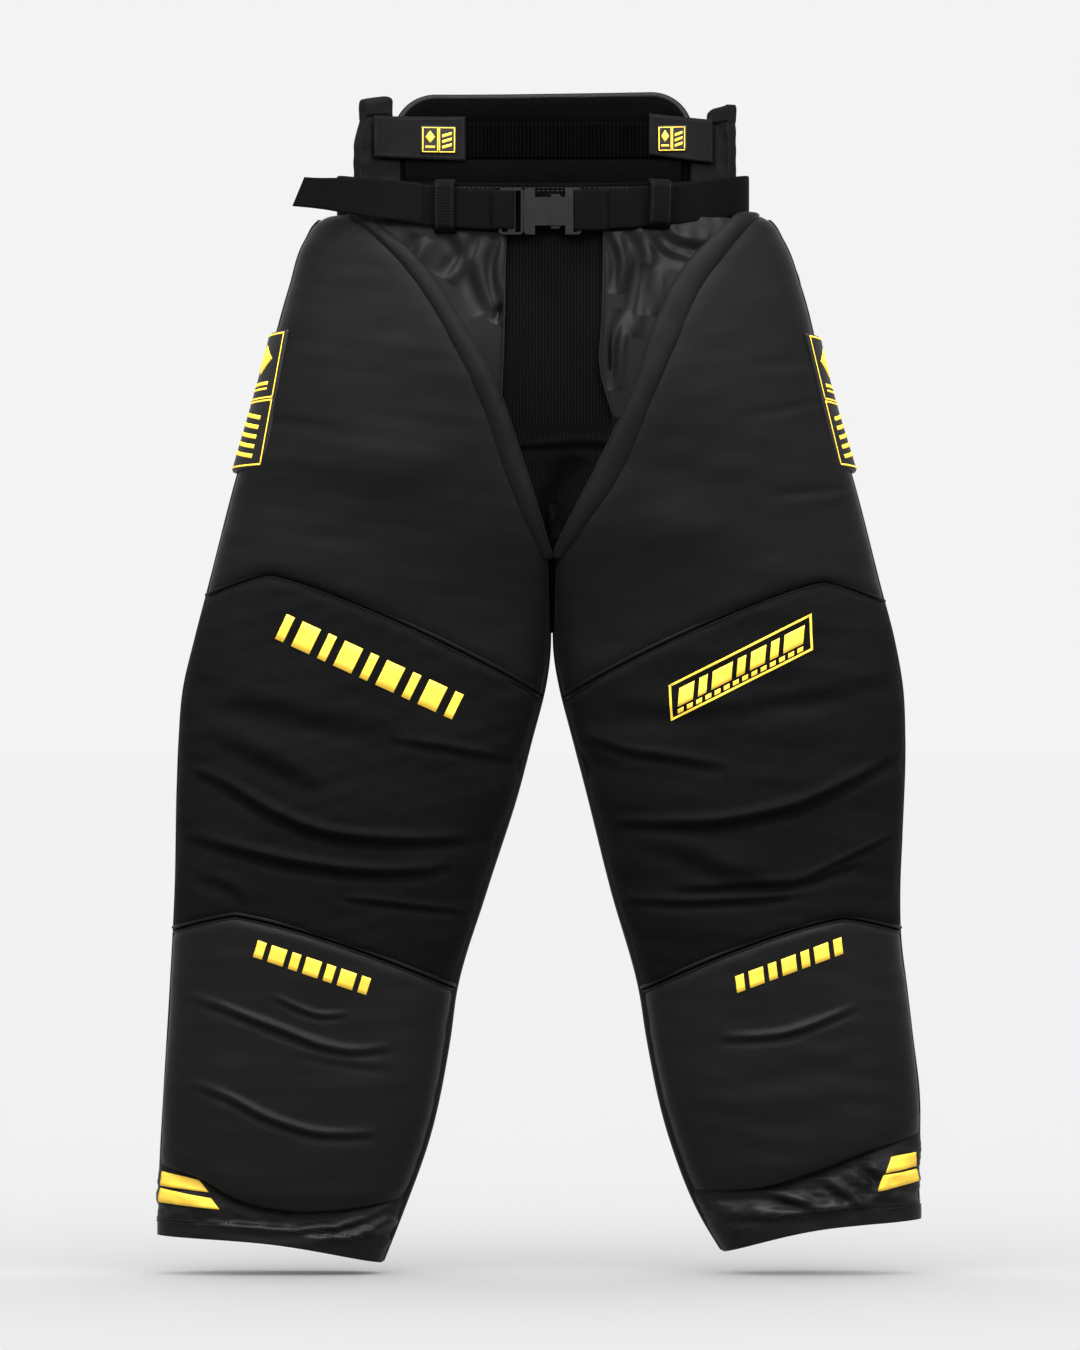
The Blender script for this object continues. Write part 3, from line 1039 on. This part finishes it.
# The pull tabs: how far from the middle they reach, their edges at both ends, and where the patch lies.
tab = {-1: dict(reach=(0.0795, 0.178), low=(0.0505, 0.053), high=(0.0955, 0.0945),
                patch=(0.089, 0.128), patchZ=(0.0575, 0.0860)),
       1: dict(reach=(0.1095, 0.179), low=(0.0565, 0.0465), high=(0.0985, 0.0905),
               patch=(0.119, 0.151), patchZ=(0.0590, 0.0860))}


# a point of a pull tab, which hangs inside the waist's oval, lifted towards the middle
def tabPoint(side, x, z, lift):
    n = waistNormal(1, side * x)
    inward = 0.0135 + 0.0015 * np.sin((x - 0.08) * 30) + lift
    return waistPoint(1, side * x, z, 0) - n * inward[..., None]


for side in (-1, 1):
    t, leg = tab[side], sideName[side]
    body = leg + "_tab"
    u, v = np.meshgrid(np.linspace(0, 1, 90), np.linspace(0, 1, 40))
    x = mix(t["reach"][0], t["reach"][1], u)
    z = mix(mix(t["low"][0], t["low"][1], u), mix(t["high"][0], t["high"][1], u), v)
    shape = crown(u, v, 0.03, 0.06)
    skin = 0.0012 * shape + 0.0003 * ripple(x, z, 0.03, 110 + side)
    piece = shell(leg + "PullTab", tabPoint(side, x, z, skin), tabPoint(side, x, z, -0.0010 + 0 * x),
                  "tab fabric", "tab_fabric", body)
    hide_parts(leg + "_pull_tab")
    edge = 0.0032
    k = np.linspace(0, 1, 60)

    # the height of its low or high edge at x
    def edgeZ(which, x, t=t):
        return mix(t[which][0], t[which][1], (x - t["reach"][0]) / (t["reach"][1] - t["reach"][0]))
    across = mix(t["reach"][0] + edge, t["reach"][1] - edge, k)
    for rowName, px, pz in (("Low", across, edgeZ("low", across) + edge),
                            ("High", across, edgeZ("high", across) - edge),
                            ("End", t["reach"][0] + edge + 0 * k,
                             mix(edgeZ("low", t["reach"][0]) + edge, edgeZ("high", t["reach"][0]) - edge, k)),
                            ("Inner", across[0] + 0.038 + 0 * k,
                             mix(edgeZ("low", across[0] + 0.038) + edge,
                                 edgeZ("high", across[0] + 0.038) - edge, k))):
        stitches(leg + "TabStitch" + rowName, tabPoint(side, px, pz, 0.0016 + 0 * px),
                 -waistNormal(1, side * px), body, length=0.0024, gap=0.0010,
                 radius=0.0003, slot="tab_fabric")
    u, v = np.meshgrid(np.linspace(0, 1, 30), np.linspace(0, 1, 24))
    px, pz = mix(t["patch"][0], t["patch"][1], u), mix(t["patchZ"][0], t["patchZ"][1], v)
    shape = crown(u, v, 0.06, 0.08)
    piece = shell(leg + "TabPatch", tabPoint(side, px, pz, 0.0012 + 0.0012 * shape),
                  tabPoint(side, px, pz, 0.0002 + 0 * px), "soft rubber", "rubber_patch", body)
    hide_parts(leg + "_tab_patch")
print("tabs made")

# The webbing runs as one strip: doubled at the socket, round the waist, and up to the plug.
belt = dict(width=0.0405, thick=0.0019, d=0.0032, startX=0.045, endX=0.048,
            barX=0.0335, foldR=0.0029, tailStart=-0.118)
firstTurn, lastTurn = (math.asin((belt[k] / size["waistW"]) ** (size["powX"] / 2))
                       for k in ("startX", "endX"))
turn = np.linspace(firstTurn, 2 * pi - lastTurn, 400)
r = size["waistW"] + belt["d"]
px = r * np.sign(np.sin(turn)) * np.abs(np.sin(turn)) ** (2 / size["powX"])
yBelt = -(size["waistD"] + belt["d"] + 0.0015)
py = yBelt * np.sign(np.cos(turn)) * np.abs(np.cos(turn)) ** (2 / size["powY"])
pz = np.where(py < 0, beltZ(px), size["beltRise"])
pz = np.convolve(np.pad(pz, 12, mode="edge"), np.ones(25) / 25, "valid")
rise = smooth(0, 1, np.linspace(0, 1, 16))
upper = np.stack([np.linspace(0.064, 0.0345, 16), mix(-0.0898, yBelt - 0.0058, rise),
                  np.full(16, beltZ(0.035))], -1)
bend = np.linspace(-pi / 2, pi / 2, 14)
fold = np.stack([belt["barX"] - belt["foldR"] * np.cos(bend),
                 yBelt - belt["foldR"] + belt["foldR"] * np.sin(bend),
                 np.full(14, beltZ(0.035))], -1)
path = np.concatenate([upper[:-1], fold, np.stack([px, py, pz], -1)[2:]])
upward = repeated([0, 0, 1.0], len(path))
outward = unit(np.cross(unit(np.gradient(path, axis=0)), upward))
beltProfile = strapProfile(belt["width"], belt["thick"], 13)
# the strip is parted under the loop, because the plug draws its own end along
cutAt = int(np.argmax((np.arange(len(path)) > len(path) // 2) & (path[:, 1] < 0) & (path[:, 0] > -0.112)))
beltPiece = sweep("beltWebbing", path[:cutAt + 1], upward[:cutAt + 1], outward[:cutAt + 1],
                  beltProfile, "webbing", "webbing", "trunk")
near = np.linspace(cutAt, len(path) - 1, 30)
nearPath, nearOut = (np.stack([np.interp(near, np.arange(len(path)), a[:, k]) for k in range(3)], -1)
                     for a in (path, outward))
sweep("beltPlugEnd", nearPath, upward[:30], nearOut, beltProfile, "webbing", "webbing", ("belt", -1))
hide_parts("belt_webbing", "belt_anchor_fold")
# the second layer, from the plug back under the loop
x = np.linspace(-0.046, belt["tailStart"] - 0.004, 40)
layer = waistPoint(-1, x, beltZ(x), 0) + waistNormal(-1, x) * (belt["d"] + 0.0038)
sweep("beltSecondLayer", layer, repeated([0, 0, 1.0], 40), waistNormal(-1, x),
      beltProfile, "webbing", "webbing", ("belt", -1))
# the loop round the plug's ladder bar
barX, barY = -0.0345, yBelt - belt["foldR"]
loop = np.concatenate([np.stack([np.linspace(-0.050, barX, 8)[:-1], np.full(7, barY - 0.0032),
                                 np.full(7, beltZ(0.04))], -1),
                       np.stack([barX + 0.0060 * np.cos(bend), barY + 0.0032 * np.sin(bend),
                                 np.full(14, beltZ(0.04))], -1),
                       np.stack([np.linspace(barX, -0.046, 6)[1:], np.full(5, barY + 0.0032),
                                 np.full(5, beltZ(0.04))], -1)])
upward = repeated([0, 0, 1.0], len(loop))
piece = sweep("plugFold", loop, upward, unit(np.cross(np.gradient(loop, axis=0), upward)),
              strapProfile(0.038, 0.0016, 13), "webbing", "webbing", "plug")
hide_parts("belt_plug_fold")
# the free tail leaves the waist in a straight line and ends in a slanting cut
tail = dict(endX=-0.243, endY=-0.054, endZ=0.0135, cut=0.012)
u, v = np.meshgrid(np.linspace(0, 1, 90), np.linspace(-1, 1, 13))
tailX = np.array([belt["tailStart"]])
startP = (waistPoint(-1, tailX, beltZ(tailX), 0) + waistNormal(-1, tailX) * 0.0070)[0]
lineY = mix(startP[1], tail["endY"], u) - 0.004 * np.sin(pi * u) - 0.001 * np.sin(2 * pi * u)
lineZ = mix(startP[2], tail["endZ"], u ** 0.8) + v * mix(belt["width"], 0.029, smooth(0.3, 1, u)) / 2
lineX = mix(startP[0], tail["endX"], u) + tail["cut"] * 0.5 * v * smooth(0.75, 1, u)
tailGrid = np.stack([lineX, lineY, lineZ], -1)
piece = shell("beltTail", tailGrid + np.array([-0.0003, -0.0009, 0]),
              tailGrid + np.array([0.0003, 0.0009, 0]), "webbing", "webbing", "tail")
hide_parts("belt_tail")


# a belt loop: a strap that stands off the band over the belt and is sewn down above and below it
def beltLoop(name, face, x, width, stand, top, bottom, nodes, lean=0.0):
    k = np.linspace(0, 1, 40)
    z = mix(top, bottom, k)
    d = 0.0022 + stand * np.minimum(1, np.minimum(k, 1 - k) / 0.13) ** 0.5 * (1 + 0.12 * np.sin(pi * k))
    px = np.full(40, x) + lean * (k - 0.5)
    p = waistPoint(face, px, z, 0) + waistNormal(face, px) * d[:, None]
    along = np.gradient(p, axis=0)
    across = unit(np.cross(along, waistNormal(face, px)))
    out = unit(np.cross(across, along))
    piece = sweep(name, p, across, out, strapProfile(width, 0.0018, 9), "webbing", "webbing", "trunk")
    if nodes:
        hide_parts(*nodes)
    for edge in (-1, 1):
        sewn = p[3:-3] + across[3:-3] * edge * (width / 2 - 0.003) + out[3:-3] * 0.0012
        stitches(name + "Stitch" + "AB"[edge > 0], sewn, out[3:-3], "trunk",
                 length=0.0022, gap=0.0010, radius=0.00028)


beltLoop("rightBeltLoop", -1, -0.096, 0.021, 0.0098, 0.0235, -0.0290, ["right_belt_loop"])
beltLoop("leftBeltLoop", -1, 0.1135, 0.023, 0.0125, 0.0240, -0.0245, ["left_belt_loop"], lean=-0.002)
beltLoop("rightBackLoop", 1, -0.147, 0.020, 0.0070, 0.0325, -0.0115, ["back_belt_loops"])
beltLoop("leftBackLoop", 1, 0.147, 0.020, 0.0070, 0.0325, -0.0115, [])
print("belt made")

# cords along the seams of the knee, and tapes over the side and inner seams in one piece for each body
for side in (-1, 1):
    leg = sideName[side]
    s = mix(0.004, 0.996, 0.5 - 0.5 * np.cos(np.linspace(0, pi, 170)))
    for name, seam, moves, slot in (("KneeTop", kneeTop, leg + "_thigh", "thigh_fabric"),
                                    ("KneeBottom", kneeBottom, leg + "_shin", "shin_fabric")):
        n = bodyNormal(side, -1, s, seam[side](s))
        for k, up in (("A", 0.0026), ("B", -0.0022)):
            z = seam[side](s) + up
            sink, radius = (0.0014, 0.0019) if k == "A" else (0.0026, 0.0015)
            piping(leg + name + "Piping" + k, bodyPoint(side, -1, s, z) + n * -sink, n, radius,
                   "thigh polyamide" if name == "KneeTop" else "shin polyamide", slot, moves)
    sideTapes = [("Upper", -0.012, backStep["upper"], ("hip", side)),
                 ("Middle", backStep["upper"], backStep["lower"], ("knee", side)),
                 ("Lower", backStep["lower"], hemEnd[side](1.0) + 0.0015, leg + "_shin")]
    for name, first, last, moves in sideTapes:
        z = np.linspace(first, float(last), 130)
        path = np.stack([side * (legOuter[side](z) - 0.0030), 0 * z, z], -1)
        piping(leg + "SideSeam" + name, path, repeated([side * 1.0, 0, 0], 130),
               0.0034, "binding tape", "band_fabric", moves, flat=0.45, sides=12)
    innerTapes = [("Crotch", -0.372, -0.486, ("hip", side), "satin"),
                  ("Middle", -0.486, backStep["lower"], ("knee", side), "binding tape"),
                  ("Lower", backStep["lower"], hemEnd[side](0.0) + 0.0015, leg + "_shin", "binding tape")]
    for name, first, last, moves, seamCloth in innerTapes:
        z = np.linspace(first, float(last), 110)
        wide = mix(0.15, 1.0, smooth(-0.385, -0.486, z)) if name == "Crotch" else np.ones(110)
        path = np.stack([side * (legInner[side](z) + 0.0030), -0.010 * (name == "Crotch") + 0 * z, z], -1)
        across = repeated([0, 1.0, 0], 110)
        sweep(leg + "InnerSeam" + name, path, across, repeated([-side * 1.0, 0, 0], 110),
              roundProfile(0.0085, 12, 0.55), seamCloth, "satin" if name == "Crotch" else "band_fabric",
              moves, scale=wide)
    # rows of stitches that end each channel of the knee pad, at both edges
    for k, (z0, far) in enumerate(((-0.478, 1), (-0.556, 0), (-0.562, 1), (-0.634, 1), (-0.637, 0))):
        s = np.linspace(0.965, 0.86, 30) if far else np.linspace(0.045, 0.15, 30)
        z = z0 + 0.010 * (1 - s if far else -s)
        x = side * (legInner[side](z) + s * (legOuter[side](z) - legInner[side](z)))
        stitches(leg + "KneeStitch" + "ABCDE"[k], padPoint(side, x, z, "knee", -0.0008),
                 bodyNormal(side, -1, s, z), ("knee", side), slot="knee_fabric", radius=0.00045)
# the seams of the seat, over the joins with the hip panels
for side in (-1, 1):
    z = np.linspace(-0.020, -0.336, 110)
    x = side * seatEdge(z)
    piping(sideName[side] + "SeatSeam", trunkPoint(1, x, z, 0.0006 + 0 * z),
           repeated([0, 1.0, 0], 110), 0.0036, "thigh polyamide", "thigh_fabric", "trunk", flat=0.6, sides=12)
print("seams made")


# Each mark is a set of four-cornered patches over two coordinates that a place function lays on its surface.
def printedMarks(name, quads, place, moves, slot, rise=0.0006, cuts=(5, 22)):
    rows, cols = cuts
    u, v = np.meshgrid(np.linspace(0, 1, cols), np.linspace(0, 1, rows))
    q = np.array(quads, float)[:, :, None, None, :]
    flat = mix(mix(q[:, 0], q[:, 1], u[..., None]), mix(q[:, 3], q[:, 2], u[..., None]), v[..., None])
    outer = np.stack([place(f[..., 0], f[..., 1], rise) for f in flat])
    inner = np.stack([place(f[..., 0], f[..., 1], -0.0008) for f in flat])
    count = rows * cols
    index = np.arange(count).reshape(rows, cols)
    ring = np.concatenate([index[0, :-1], index[:-1, -1], index[-1, :0:-1], index[:0:-1, 0]])
    one = np.concatenate([gridFaces(rows, cols), gridFaces(rows, cols)[:, ::-1] + count,
                          np.stack([ring, ring + count, np.roll(ring, -1) + count, np.roll(ring, -1)], -1)])
    e, f = outer[:, :-1, 1:] - outer[:, :-1, :-1], outer[:, 1:, :-1] - outer[:, :-1, :-1]
    turned = np.sum(np.cross(e, f) * (outer - inner)[:, :-1, :-1], axis=(1, 2, 3)) < 0
    faces = np.concatenate([(one[:, ::-1] if t else one) + k * 2 * count for k, t in enumerate(turned)])
    points = np.stack([outer.reshape(len(quads), -1, 3), inner.reshape(len(quads), -1, 3)], 1).reshape(-1, 3)
    return finishPiece(name, points, faces, points[:, :2], "yellow print", slot, moves)


# slanted bars in a row from start to end, each with its own share of the run, and up is their slanting side
def barsAlong(start, end, up, widths, gap):
    start, end, up = np.array(start), np.array(end), np.array(up)
    total = sum(widths) + gap * (len(widths) - 1)
    quads, at = [], 0
    for w in widths:
        a, b = start + (end - start) * at / total, start + (end - start) * (at + w) / total
        quads.append([a + up, b + up, b, a])
        at += w + gap
    return quads


# the outline of a four-cornered frame, line thick
def frameLines(corners, line):
    c = np.array(corners, float)
    inner = []
    for k in range(4):
        inner.append(c[k] + (unit(c[(k + 1) % 4] - c[k]) + unit(c[k - 1] - c[k])) * line)
    inner = np.array(inner)
    return [[c[k], c[(k + 1) % 4], inner[(k + 1) % 4], inner[k]] for k in range(4)]


# a mark's place on a finished pad
def onPad(side, part):
    return lambda x, z, lift: padPoint(side, x, z, part, lift)


marks = dict(
    rightKnee=barsAlong((-0.266, -0.431), (-0.091, -0.511), (0.012, 0.0245), (4, 9, 4, 9, 4, 9, 4, 9, 4), 4),
    leftKnee=frameLines([(0.125, -0.477), (0.266, -0.406), (0.268, -0.442), (0.127, -0.513)], 0.0024)
    + barsAlong((0.134, -0.4985), (0.258, -0.436), (0.0015, 0.0185), (9, 5, 12, 5, 9, 5, 12), 3)
    + barsAlong((0.134, -0.5055), (0.258, -0.443), (0, 0.0045), (1,) * 14, 0.6),
    rightShin=barsAlong((-0.288, -0.747), (-0.176, -0.785), (0.005, 0.0165), (4, 7, 4, 7, 4, 7, 4), 2.4),
    leftShin=barsAlong((0.193, -0.783), (0.298, -0.744), (-0.002, 0.0165), (4, 7, 4, 7, 4, 7, 4), 2.4))
printedMarks("rightKneeMark", marks["rightKnee"], onPad(-1, "knee"), ("knee", -1), "knee_fabric")
printedMarks("leftKneeMark", marks["leftKnee"], onPad(1, "knee"), ("knee", 1), "knee_fabric")
printedMarks("rightShinMark", marks["rightShin"], onPad(-1, "shin"), "right_shin", "shin_fabric")
printedMarks("leftShinMark", marks["leftShin"], onPad(1, "shin"), "left_shin", "shin_fabric")

# the stripes low on the outer side of each cuff
stripes = {-1: [[(-0.3805, -0.9625), (-0.343, -0.970), (-0.333, -0.982), (-0.3815, -0.9765)],
                [(-0.382, -0.979), (-0.331, -0.988), (-0.322, -0.999), (-0.3825, -0.993)]],
           1: [[(0.347, -0.947), (0.3715, -0.943), (0.3735, -0.957), (0.340, -0.963)],
               [(0.338, -0.965), (0.374, -0.960), (0.375, -0.972), (0.333, -0.981)]]}


# a mark's place on the cuff's skin: its turn is looked up from the share of the way across the leg
def onCuff(side):
    def place(x, z, lift):
        s = shareAt(side, x, z)
        t = np.linspace(0, 0.5, 200)
        turn = np.interp(s, cuffShare(t)[::-1], t[::-1])
        outer, out = cuffSkin(side, turn, (cuffStart[side] - z) / (cuffStart[side] - hemEnd[side](s)))
        return outer + out * lift
    return place


for side in (-1, 1):
    printedMarks(sideName[side] + "CuffStripes", stripes[side], onCuff(side),
                 sideName[side] + "_shin", "satin", rise=0.0014)


# a point of the trunk round its side seam: the angle is 0 at the seam, positive towards the front
def sidePoint(side, angle, z, lift):
    def at(angle, z):
        low, out = legInner[side](z), legOuter[side](z)
        s = np.cos(angle) ** (2 / size["powX"])
        depth = np.where(angle > 0, -depthCurve[-1](z), depthCurve[1](z))
        return np.stack([side * (low + s * (out - low)), depth * np.abs(np.sin(angle)) ** (2 / size["powY"]),
                         z + 0 * angle], -1)
    turning, climbing = at(angle + 0.01, z) - at(angle - 0.01, z), at(angle, z + 0.004) - at(angle, z - 0.004)
    n = np.cross(turning, climbing) * side
    n *= np.sign(n[..., :1]) * side
    return at(angle, z) + unit(n) * np.asarray(lift)[..., None]


patch = {-1: dict(x=(0.252, 0.2755), z=(-0.1235, -0.260)), 1: dict(x=(0.260, 0.292), z=(-0.127, -0.260))}
for side in (-1, 1):
    f = patch[side]

    # p runs from the front edge (0) round to the back edge (1), q from the top down
    def onPatch(p, q, lift, side=side, f=f):
        z = mix(f["z"][0], f["z"][1], q)
        low, out = legInner[side](z), legOuter[side](z)
        share = np.clip((mix(f["x"][0], f["x"][1], q) - low) / (out - low), 0, 1)
        front = np.arccos(share ** (size["powX"] / 2))
        return sidePoint(side, mix(front, -0.155, p) + 1e-4, z - 0.006 * p, 0.0042 + lift + 0 * z)
    u, v = np.meshgrid(np.linspace(0, 1, 40), np.linspace(0, 1, 80))
    shape = crown(u, v, 0.05, 0.02)
    piece = shell(sideName[side] + "HipPatch", onPatch(u, v, 0.0012 * shape - 0.0012),
                  onPatch(u, v, -0.0075 + 0 * u), "soft rubber", "rubber_patch", ("hip", side))
    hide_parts(sideName[side] + "_hip_patch")
    quads = (frameLines([(0.05, 0.015), (0.95, 0.015), (0.95, 0.495), (0.05, 0.495)], 0.012)
             + frameLines([(0.05, 0.505), (0.95, 0.505), (0.95, 0.985), (0.05, 0.985)], 0.012)
             + [[(0.5, 0.09), (0.78, 0.20), (0.5, 0.31), (0.22, 0.20)],
                [(0.2, 0.37), (0.8, 0.37), (0.8, 0.395), (0.2, 0.395)],
                [(0.2, 0.415), (0.8, 0.415), (0.8, 0.43), (0.2, 0.43)]]
             + [[(0.2, a), (0.8, a - 0.06), (0.8, a - 0.03), (0.2, a + 0.03)]
                for a in (0.62, 0.69, 0.76, 0.83, 0.90)])
    printedMarks(sideName[side] + "HipPatchMark", quads, onPatch, ("hip", side), "rubber_patch", rise=0.0005)
    t = tab[side]

    # p runs from the wearer's right to their left, q from the top down
    def onTab(p, q, lift, side=side, t=t):
        x = mix(t["patch"][0], t["patch"][1], p if side > 0 else 1 - p)
        return tabPoint(side, x, mix(t["patchZ"][1], t["patchZ"][0], q), 0.0024 + lift)
    quads = (frameLines([(0.05, 0.06), (0.49, 0.06), (0.49, 0.94), (0.05, 0.94)], 0.028)
             + frameLines([(0.51, 0.06), (0.95, 0.06), (0.95, 0.94), (0.51, 0.94)], 0.028)
             + [[(0.27, 0.18), (0.40, 0.40), (0.27, 0.62), (0.14, 0.40)],
                [(0.14, 0.72), (0.40, 0.72), (0.40, 0.79), (0.14, 0.79)]]
             + [[(0.60, a), (0.86, a - 0.1), (0.86, a), (0.60, a + 0.1)] for a in (0.32, 0.52, 0.72)])
    printedMarks(sideName[side] + "TabPatchMark", quads, onTab, sideName[side] + "_tab",
                 "rubber_patch", rise=0.0004, cuts=(3, 8))
print("marks made")

# what stays of the frame's own parts takes the material of its slot
for name, node in frame["nodes"].items():
    slotName = node.data.materials[0].name if node.data.materials else ""
    found = [m for s, m in slotMaterial.items() if slotName.startswith(s)]
    node.data.materials.clear()
    node.data.materials.append(materials[found[0] if found else "band twill"])

# metres; middle is where the camera looks, and height is what its picture spans
studio = dict(floorDrop=0.009, world=0.90, distance=9.0, middle=(-0.003, -0.467), height=1.350)


# a rectangle round its centre, by its two half edges
def stagePlane(name, centre, across, along, material):
    centre, across, along = np.array(centre), np.array(across), np.array(along)
    points = [centre + a * across + b * along for a, b in ((-1, -1), (1, -1), (1, 1), (-1, 1))]
    mesh = bpy.data.meshes.new(name)
    mesh.from_pydata([tuple(p) for p in points], [], [(0, 1, 2, 3)])
    mesh.materials.append(material)
    plane = bpy.data.objects.new(name, mesh)
    bpy.context.scene.collection.objects.link(plane)
    return plane


floorPaint = bpy.data.materials.new("floor paint")
floorPaint.use_nodes = True
floorShader = floorPaint.node_tree.nodes["Principled BSDF"]
floorShader.inputs["Base Color"].default_value = (0.985, 0.985, 0.985, 1)
floorShader.inputs["Roughness"].default_value = 0.9
floorShader.inputs["Specular IOR Level"].default_value = 0.0
stagePlane("floor", (0, 0, cadBox[0][2] - studio["floorDrop"]), (60, 0, 0), (0, 60, 0), floorPaint)

world = bpy.data.worlds.new("studio")
bpy.context.scene.world = world
world.use_nodes = True
world.node_tree.nodes["Background"].inputs[0].default_value = (1, 1, 1, 1)
world.node_tree.nodes["Background"].inputs[1].default_value = studio["world"]

# the soft lights are aimed at the cloth alone, so the floor stays even
lit = bpy.data.collections.new("lit")
for o in list(bpy.context.scene.objects):
    if o.type == "MESH" and o.name != "floor":
        lit.objects.link(o)


# a rectangular lamp at a place, turned towards another
def softLight(name, place, towards, width, height, power):
    lamp = bpy.data.lights.new(name, "AREA")
    lamp.shape, lamp.size, lamp.size_y, lamp.energy = "RECTANGLE", width, height, power
    light = bpy.data.objects.new(name, lamp)
    bpy.context.scene.collection.objects.link(light)
    light.location = place
    light.light_linking.receiver_collection = lit
    light.rotation_euler = (Vector(towards) - Vector(place)).to_track_quat("-Z", "Y").to_euler()


# place, aim, width, height and watts
softLight("keyLeft", (-1.2, -1.7, 1.1), (-0.1, 0, -0.3), 1.2, 0.9, 27)
softLight("keyRight", (1.4, -1.8, 0.8), (0.1, 0, -0.35), 1.0, 0.9, 26)
softLight("overhead", (0.0, -0.7, 1.7), (0, 0, -0.2), 1.6, 0.7, 85)
softLight("nearLeft", (-0.30, -0.62, 0.36), (-0.19, -0.05, -0.06), 0.5, 0.25, 5.2)
softLight("nearRight", (0.30, -0.62, 0.36), (0.19, -0.05, -0.06), 0.5, 0.25, 5.2)

camera = bpy.data.objects.new("camera", bpy.data.cameras.new("camera"))
bpy.context.scene.collection.objects.link(camera)
camera.location = (studio["middle"][0], -studio["distance"], studio["middle"][1])
camera.rotation_euler = (pi / 2, 0, 0)
camera.data.sensor_width = 36.0
camera.data.lens = 36.0 * studio["distance"] / studio["height"]
camera.data.clip_end = 200
bpy.context.scene.camera = camera
bpy.context.scene.view_settings.view_transform = "Standard"
print("stage set")
